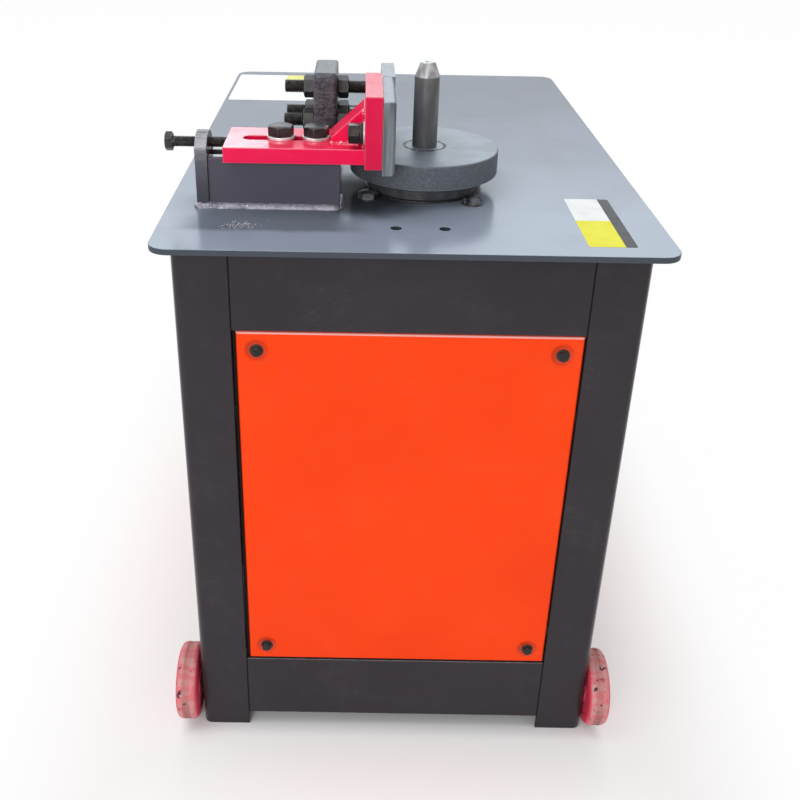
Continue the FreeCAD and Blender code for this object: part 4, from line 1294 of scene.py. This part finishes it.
class BENDER_OT_adjusting_screw(BenderOperator, Operator):
    """Cut the adjusting screw's thread and chamfer its head"""
    bl_idname = "bender.adjusting_screw"
    bl_label = "Adjusting screw"

    def execute(self, context):
        spec = context.scene.bender_fasteners
        low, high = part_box("adjusting_screw")
        centre = middle("adjusting_screw")
        flats, radius = FASTENERS["M14"]
        head = 0.009
        neck = low.x + head
        start = neck + 0.003
        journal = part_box("slide_bar")[0].x - 0.0003
        end = high.x - journal
        mesh = bmesh.new()
        hexagon(mesh, flats, head, along(-ALONG_X, (neck, centre.y, centre.z), math.radians(30)))
        lathe(mesh, [(0.0, -0.0001), (0.0100, -0.0001), (0.0100, 0.0006), (0.0069, 0.0010), (0.0069, 0.004),
                     (0.0, 0.004)], along(ALONG_X, (neck, centre.y, centre.z)), 40)
        thread(mesh, radius, spec.screw_pitch, journal - start, along(ALONG_X, (start, centre.y, centre.z)))
        lathe(mesh, [(0.0, -0.001), (0.0045, -0.001), (0.0045, end - 0.0006), (0.0039, end), (0.0, end)],
              along(ALONG_X, (journal, centre.y, centre.z)), 32)
        piece("adjusting_screw_cut", mesh, "adjusting_screw", "bolt_steel", ["adjusting_screw"])
        return {"FINISHED"}


class BENDER_OT_carriage(BenderOperator, Operator):
    """Paint the bar, gusset and stop plate, weld them together and finish the wear plate"""
    bl_idname = "bender.carriage"
    bl_label = "Carriage"

    def execute(self, context):
        dress(["slide_bar", "gusset"], "red_paint", "plate")
        # The stop plate takes the darker red, a painted shade.
        dress(["stop_plate"], "stop_paint", "plate")
        dress(["wear_plate"], "ground_steel", "plate")
        self.welds(context.scene.bender_welds)
        self.fixings(context.scene.bender_fasteners)
        return {"FINISHED"}

    def welds(self, spec):
        """Painted beads at the gusset's foot and where the bar meets the stop plate."""
        bar_low, bar_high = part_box("slide_bar")
        low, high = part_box("gusset")
        size = (spec.fine, spec.fine * 0.8)
        small = (spec.fine * 0.7, spec.fine * 0.6)
        top = bar_high.z
        mesh = bmesh.new()
        for side, y, bar_y in ((-1, low.y, bar_low.y), (1, high.y, bar_high.y)):
            outward = ALONG_Y * side
            weld(mesh, (low.x - 0.002, y, top), (high.x - 0.004, y, top), outward, UP, size, 0.6,
                 20.0 * side)
            weld(mesh, (high.x, y + side * 0.003, top), (high.x, bar_y - side * 0.002, top), -ALONG_X, UP,
                 small, 0.0, 31.0 * side)
            weld(mesh, (high.x, y, top + 0.003), (high.x, y, high.z - 0.001), -ALONG_X, outward, small,
                 0.0, 43.0 * side)
        piece("carriage_welds", mesh, "carriage", "red_weld", sharp=60.0)

    def fixings(self, spec):
        """Nuts on two thick washers behind the stop plate, with a thin bright washer under them."""
        centre = middle("wear_fixings")
        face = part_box("stop_plate")[0].x
        radius = FASTENERS["M16"][1]
        apart, flats, seat, height = 0.084, 0.0225, 0.0060, 0.015
        nuts = bmesh.new()
        washers = bmesh.new()
        for side in SIDES:
            at = along(-ALONG_X, (face, centre.y + side * apart / 2, centre.z))
            lathe(washers, [(0.0085, 0.0), (0.0149, 0.0), (0.0150, 0.0003), (0.0150, 0.0014),
                            (0.0146, 0.0018), (0.0085, 0.0018)], at, 48)
            lathe(nuts, [(0.0085, 0.0018), (0.0133, 0.0018), (0.0137, 0.0023), (0.0137, 0.0034),
                         (0.0133, 0.0039), (0.0133, 0.0041), (0.0137, 0.0046), (0.0137, 0.0056),
                         (0.0132, seat), (0.0, seat)], at, 48)
            hexagon(nuts, flats, height, above(at, seat), radius - 0.0001, True)
            thread(nuts, radius, spec.screw_pitch, height - 0.0002, above(at, seat), 24)
            lathe(nuts, [(0.0, 0.0), (radius, 0.0), (radius, -0.022), (0.0, -0.022)], at, 24)
        piece("wear_fixings_made", nuts, "carriage", "bolt_steel", ["wear_fixings"])
        piece("wear_fixing_washers", washers, "carriage", "zinc_plate")


class BENDER_OT_clamp_bolts(BenderOperator, Operator):
    """Make the two clamp bolts with plated washers and threaded shanks"""
    bl_idname = "bender.clamp_bolts"
    bl_label = "Clamp bolts"

    def execute(self, context):
        spec = context.scene.bender_fasteners
        flats, radius = FASTENERS["M20"]
        head_turn = math.radians(50)
        for number in (1, 2):
            node = "clamp_bolt_%d" % number
            low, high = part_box(node)
            centre = middle(node)
            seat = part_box("slide_bar")[1].z
            at = along(UP, (centre.x, centre.y, seat), head_turn)
            washer = bmesh.new()
            lathe(washer, [(0.0105, 0.0), (0.0176, 0.0), (0.0180, 0.0005), (0.0180, 0.0034), (0.0174, 0.0040),
                           (0.0105, 0.0040)], at, 64)
            piece("clamp_washer_%d" % number, washer, node, "zinc_plate")
            mesh = bmesh.new()
            lathe(mesh, [(0.0, 0.0040), (0.0140, 0.0040), (0.0143, 0.0046), (0.0, 0.0048)], at, 48)
            hexagon(mesh, flats, high.z - seat - 0.0044, above(at, 0.0044))
            threaded = seat - low.z - 0.024
            plain = 0.026 - threaded
            lathe(mesh, [(0.0, 0.0042), (radius, 0.0042), (radius, plain), (0.0, plain)], at, 32)
            thread(mesh, radius, spec.stud_pitch, threaded, above(at, low.z - seat))
            piece(node + "_made", mesh, node, "bolt_steel", [node])
        return {"FINISHED"}


# Rear stop
class BENDER_OT_rear_post(BenderOperator, Operator):
    """Forge the rear post and weld it to the table"""
    bl_idname = "bender.rear_post"
    bl_label = "Rear post"

    def execute(self, context):
        spec = context.scene.bender_welds
        low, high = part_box("rear_post")
        centre = (low + high) / 2
        sunk, rounding, cell = 0.0065, 0.0045, 0.0032
        mesh = bmesh.new()
        rounded_block(mesh, Vector((low.x, low.y, low.z - sunk)), high, rounding, cell)
        for vertex in mesh.verts:
            spot = vertex.co
            hammered = [0.5 + 0.5 * noise.noise(spot * scale) for scale in (95.0, 34.0)]
            inward = Vector((centre.x - spot.x, (centre.y - spot.y) * 0.3, min(0.0, centre.z + 0.06 - spot.z)))
            vertex.co += inward.normalized() * 0.0005 * sum(hammered)
        piece("rear_post_forged", mesh, "table", "forged_black", ["rear_post"], 60.0)
        welds = bmesh.new()
        size = (spec.width * 0.8, spec.height * 0.8)
        for start, end, outward in (((low.x, low.y), (high.x, low.y), -ALONG_Y),
                                    ((low.x, high.y), (high.x, high.y), ALONG_Y),
                                    ((low.x, low.y), (low.x, high.y), -ALONG_X),
                                    ((high.x, low.y), (high.x, high.y), ALONG_X)):
            weld(welds, (*start, low.z), (*end, low.z), outward, UP, size, 0.2,
                 start[0] * 50 + end[1] * 80)
        piece("post_welds", welds, "table", "weld_paint", sharp=60.0)
        return {"FINISHED"}


class BENDER_OT_rear_stop(BenderOperator, Operator):
    """Finish the rear stop plate, cut its studs and chamfer their nuts"""
    bl_idname = "bender.rear_stop"
    bl_label = "Rear stop"

    def execute(self, context):
        pitch = context.scene.bender_fasteners.stud_pitch
        radius = FASTENERS["M18"][1]
        dress(["rear_stop_plate"], "ground_steel", "plate")
        low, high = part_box("stop_studs")
        studs = bmesh.new()
        for name in ("stop_nuts_upper", "stop_nuts_lower_front", "stop_nuts_lower_rear"):
            spot = middle(name)
            thread(studs, radius, pitch, high.x - low.x, along(ALONG_X, (low.x, spot.y, spot.z)))
            self.nuts(name)
        piece("stop_studs_cut", studs, "rear_stop", "bolt_steel", ["stop_studs"])
        return {"FINISHED"}

    def nuts(self, name):
        """Two nuts of one stud, chamfered at both ends."""
        low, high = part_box(name)
        spot = middle(name)
        flats, radius = FASTENERS["M18"]
        height, nut_turn = 0.015, math.radians(15)
        mesh = bmesh.new()
        for x in (low.x, high.x - height):
            at = along(ALONG_X, (x, spot.y, spot.z), nut_turn)
            hexagon(mesh, flats, height, at, radius + 0.0001, True)
        piece(name + "_made", mesh, name, "bolt_steel", [name])


class BENDER_OT_button_station(BenderOperator, Operator):
    """Finish the switch box and its buttons, with bezels and lid screws"""
    bl_idname = "bender.button_station"
    bl_label = "Button station"

    def execute(self, context):
        dress(["button_station"], "station_plastic", "moulded")
        low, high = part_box("button_station")
        bezels = bmesh.new()
        for node, finish in (("forward_button", "button_green"), ("stop_button", "button_red"),
                             ("reverse_button", "button_black")):
            dress([node], finish, "moulded", 3)
            spot = middle(node)
            self.bezel(bezels, along(ALONG_X, (high.x, spot.y, spot.z)))
        piece("button_bezels", bezels, "table", "button_black")
        centre = (low + high) / 2
        inset = 0.007
        reach = (high - low) / 2 - Vector((inset,) * 3)
        screws = bmesh.new()
        for side in SIDES:
            for end in SIDES:
                foot = (high.x, centre.y + side * reach.y, centre.z + end * reach.z)
                self.screw(screws, along(ALONG_X, foot, side + end * 0.6))
        piece("station_screws", screws, "table", "zinc_plate")
        return {"FINISHED"}

    def bezel(self, mesh, at, inner=0.0128, outer=0.0148, rise=0.0018, sunk=-0.0005, edge=0.0006):
        """Square frame with rounded corners round a button's well."""
        section = ((inner, sunk), (inner, rise), (outer - edge, rise), (outer, rise - edge), (outer, sunk),
                   (inner, sunk))
        rings = [outline((-half, -half), (half, half), half * 0.16, height, 4) for half, height in section]
        skin(mesh, rings, at)

    def screw(self, mesh, at):
        """Low domed head with a round recess in its middle."""
        lathe(mesh, [(0.0, 0.0), (0.0027, 0.0), (0.0029, 0.0003), (0.0024, 0.0007), (0.0012, 0.0008),
                     (0.0010, 0.0002), (0.0, 0.0002)], at, 24)


# Stage
class BENDER_OT_stage(BenderOperator, Operator):
    """Set the floor, the lamps and the camera"""
    bl_idname = "bender.stage"
    bl_label = "Floor, lamps and camera"

    def execute(self, context):
        scene = context.scene
        spec = scene.bender_studio
        self.floor(scene.bender_colours.floor, spec)
        self.world(scene, spec)
        target = Vector((0.0, 0.0, 0.55))
        self.lamp("top_lamp", (-1.2, -0.5, 3.2), target, (1.9, 1.9), spec.top_power)
        self.lamp("back_lamp", (0.3, 5.0, 3.45), target, (5.0, 2.2), spec.back_power, spec.sky)
        self.lamp("front_lamp", (-1.2, -4.2, 2.0), target, (1.7, 1.3), spec.front_power)
        self.camera(scene, spec)
        return {"FINISHED"}

    def floor(self, tone, spec):
        """Pale floor that keeps the shadow; what the camera and mirrors see of it is lifted to white."""
        mesh = bmesh.new()
        lathe(mesh, [(radius, -0.0002) for radius in (0.0, 2.0, 12.0, 60.0)], steps=96)
        data = bpy.data.meshes.new("floor")
        mesh.to_mesh(data)
        mesh.free()
        made = bpy.data.objects.new("floor", data)
        bpy.context.scene.collection.objects.link(made)
        finish = Finish("floor")
        finish.shade(base_color=tone, roughness=0.9)
        right, rear = cad_box[1][:2]
        reach = (abs(finish.axis("X")) - right).most(abs(finish.axis("Y")) - rear)
        lift = (spec.floor_shade * reach.between(-0.03, 0.0)
                + (spec.floor_glow - spec.floor_shade) * reach.between(0.0, spec.shade_reach))
        glow = finish.node("Emission", None, {"Color": (1.0, 1.0, 1.0), "Strength": 1.0})
        surface = Value(finish, finish.shader.outputs[0])
        mixed = finish.node("MixShader", None, {0: finish.seen() * lift, 1: surface, 2: glow})
        finish.feed(finish.tree.nodes["Material Output"].inputs["Surface"], mixed)
        data.materials.append(finish.material)

    def world(self, scene, spec):
        """White where it is seen, and softer as a light on matt faces."""
        world = bpy.data.worlds.new("studio")
        world.use_nodes = True
        scene.world = world
        nodes = Nodes(world.node_tree)
        background = nodes.tree.nodes["Background"]
        nodes.feed(background.inputs["Color"], (1.0, 1.0, 1.0))
        nodes.feed(background.inputs["Strength"], nodes.seen() * (1 - spec.world) + spec.world)

    def lamp(self, name, spot, target, size, power, tint=(1.0, 1.0, 1.0)):
        """Flat lamp turned to its target and hidden from the camera."""
        data = bpy.data.lights.new(name, "AREA")
        data.color = tint
        data.shape = "RECTANGLE"
        data.size, data.size_y = size
        data.energy = power
        made = bpy.data.objects.new(name, data)
        made.location = spot
        made.rotation_mode = "QUATERNION"
        made.rotation_quaternion = (target - Vector(spot)).to_track_quat("-Z", "Y")
        made.visible_camera = False
        bpy.context.scene.collection.objects.link(made)

    def camera(self, scene, spec):
        """Camera where the photograph was taken, with its lean and its shift."""
        data = bpy.data.cameras.new("camera")
        data.sensor_width = 36.0
        data.lens = spec.focus
        data.shift_x = spec.shift_x
        data.shift_y = spec.shift_y
        data.clip_start, data.clip_end = 0.05, 100.0
        made = bpy.data.objects.new("camera", data)
        facing = Vector((math.sin(spec.yaw) * math.cos(spec.pitch), math.cos(spec.yaw) * math.cos(spec.pitch),
                         -math.sin(spec.pitch)))
        level = Vector((math.cos(spec.yaw), -math.sin(spec.yaw), 0))
        upright = level.cross(facing)
        right = math.cos(spec.roll) * level - math.sin(spec.roll) * upright
        up = math.sin(spec.roll) * level + math.cos(spec.roll) * upright
        made.matrix_world = (Matrix.Translation(spec.camera_at)
                             @ Matrix((right, up, -facing)).transposed().to_4x4())
        scene.collection.objects.link(made)
        scene.camera = made
        scene.view_settings.view_transform = "Standard"


# Panel and registration
STEPS = (
    BENDER_OT_stage, BENDER_OT_table, BENDER_OT_body, BENDER_OT_covers, BENDER_OT_wheels, BENDER_OT_spindle,
    BENDER_OT_bearing, BENDER_OT_motor, BENDER_OT_slide_block, BENDER_OT_adjusting_screw, BENDER_OT_carriage,
    BENDER_OT_clamp_bolts, BENDER_OT_rear_post, BENDER_OT_rear_stop, BENDER_OT_button_station)

SETTINGS = {
    "bender_colours": BenderColours, "bender_wear": BenderWear, "bender_softening": BenderSoftening,
    "bender_fasteners": BenderFasteners, "bender_welds": BenderWelds, "bender_wheels": BenderWheels,
    "bender_sticker": BenderSticker, "bender_studio": BenderStudio}


class BENDER_PT_machine(Panel):
    """Steps and settings of the machine, in the sidebar of the 3D view."""
    bl_idname = "BENDER_PT_machine"
    bl_label = "Rebar bending machine"
    bl_space_type = "VIEW_3D"
    bl_region_type = "UI"
    bl_category = "Bender"

    def draw(self, context):
        for step in STEPS:
            self.layout.operator(step.bl_idname)
        for name, group in SETTINGS.items():
            box = self.layout.box()
            for field in group.__annotations__:
                box.prop(getattr(context.scene, name), field)


def register():
    for group in (*SETTINGS.values(), *STEPS, BENDER_PT_machine):
        bpy.utils.register_class(group)
    for name, group in SETTINGS.items():
        setattr(bpy.types.Scene, name, PointerProperty(type=group))


def unregister():
    for name in SETTINGS:
        delattr(bpy.types.Scene, name)
    for group in (BENDER_PT_machine, *reversed(STEPS), *SETTINGS.values()):
        bpy.utils.unregister_class(group)


def main():
    register()
    for step in STEPS:
        family, action = step.bl_idname.split(".")
        getattr(getattr(bpy.ops, family), action)()


if __name__ == "__main__":
    main()
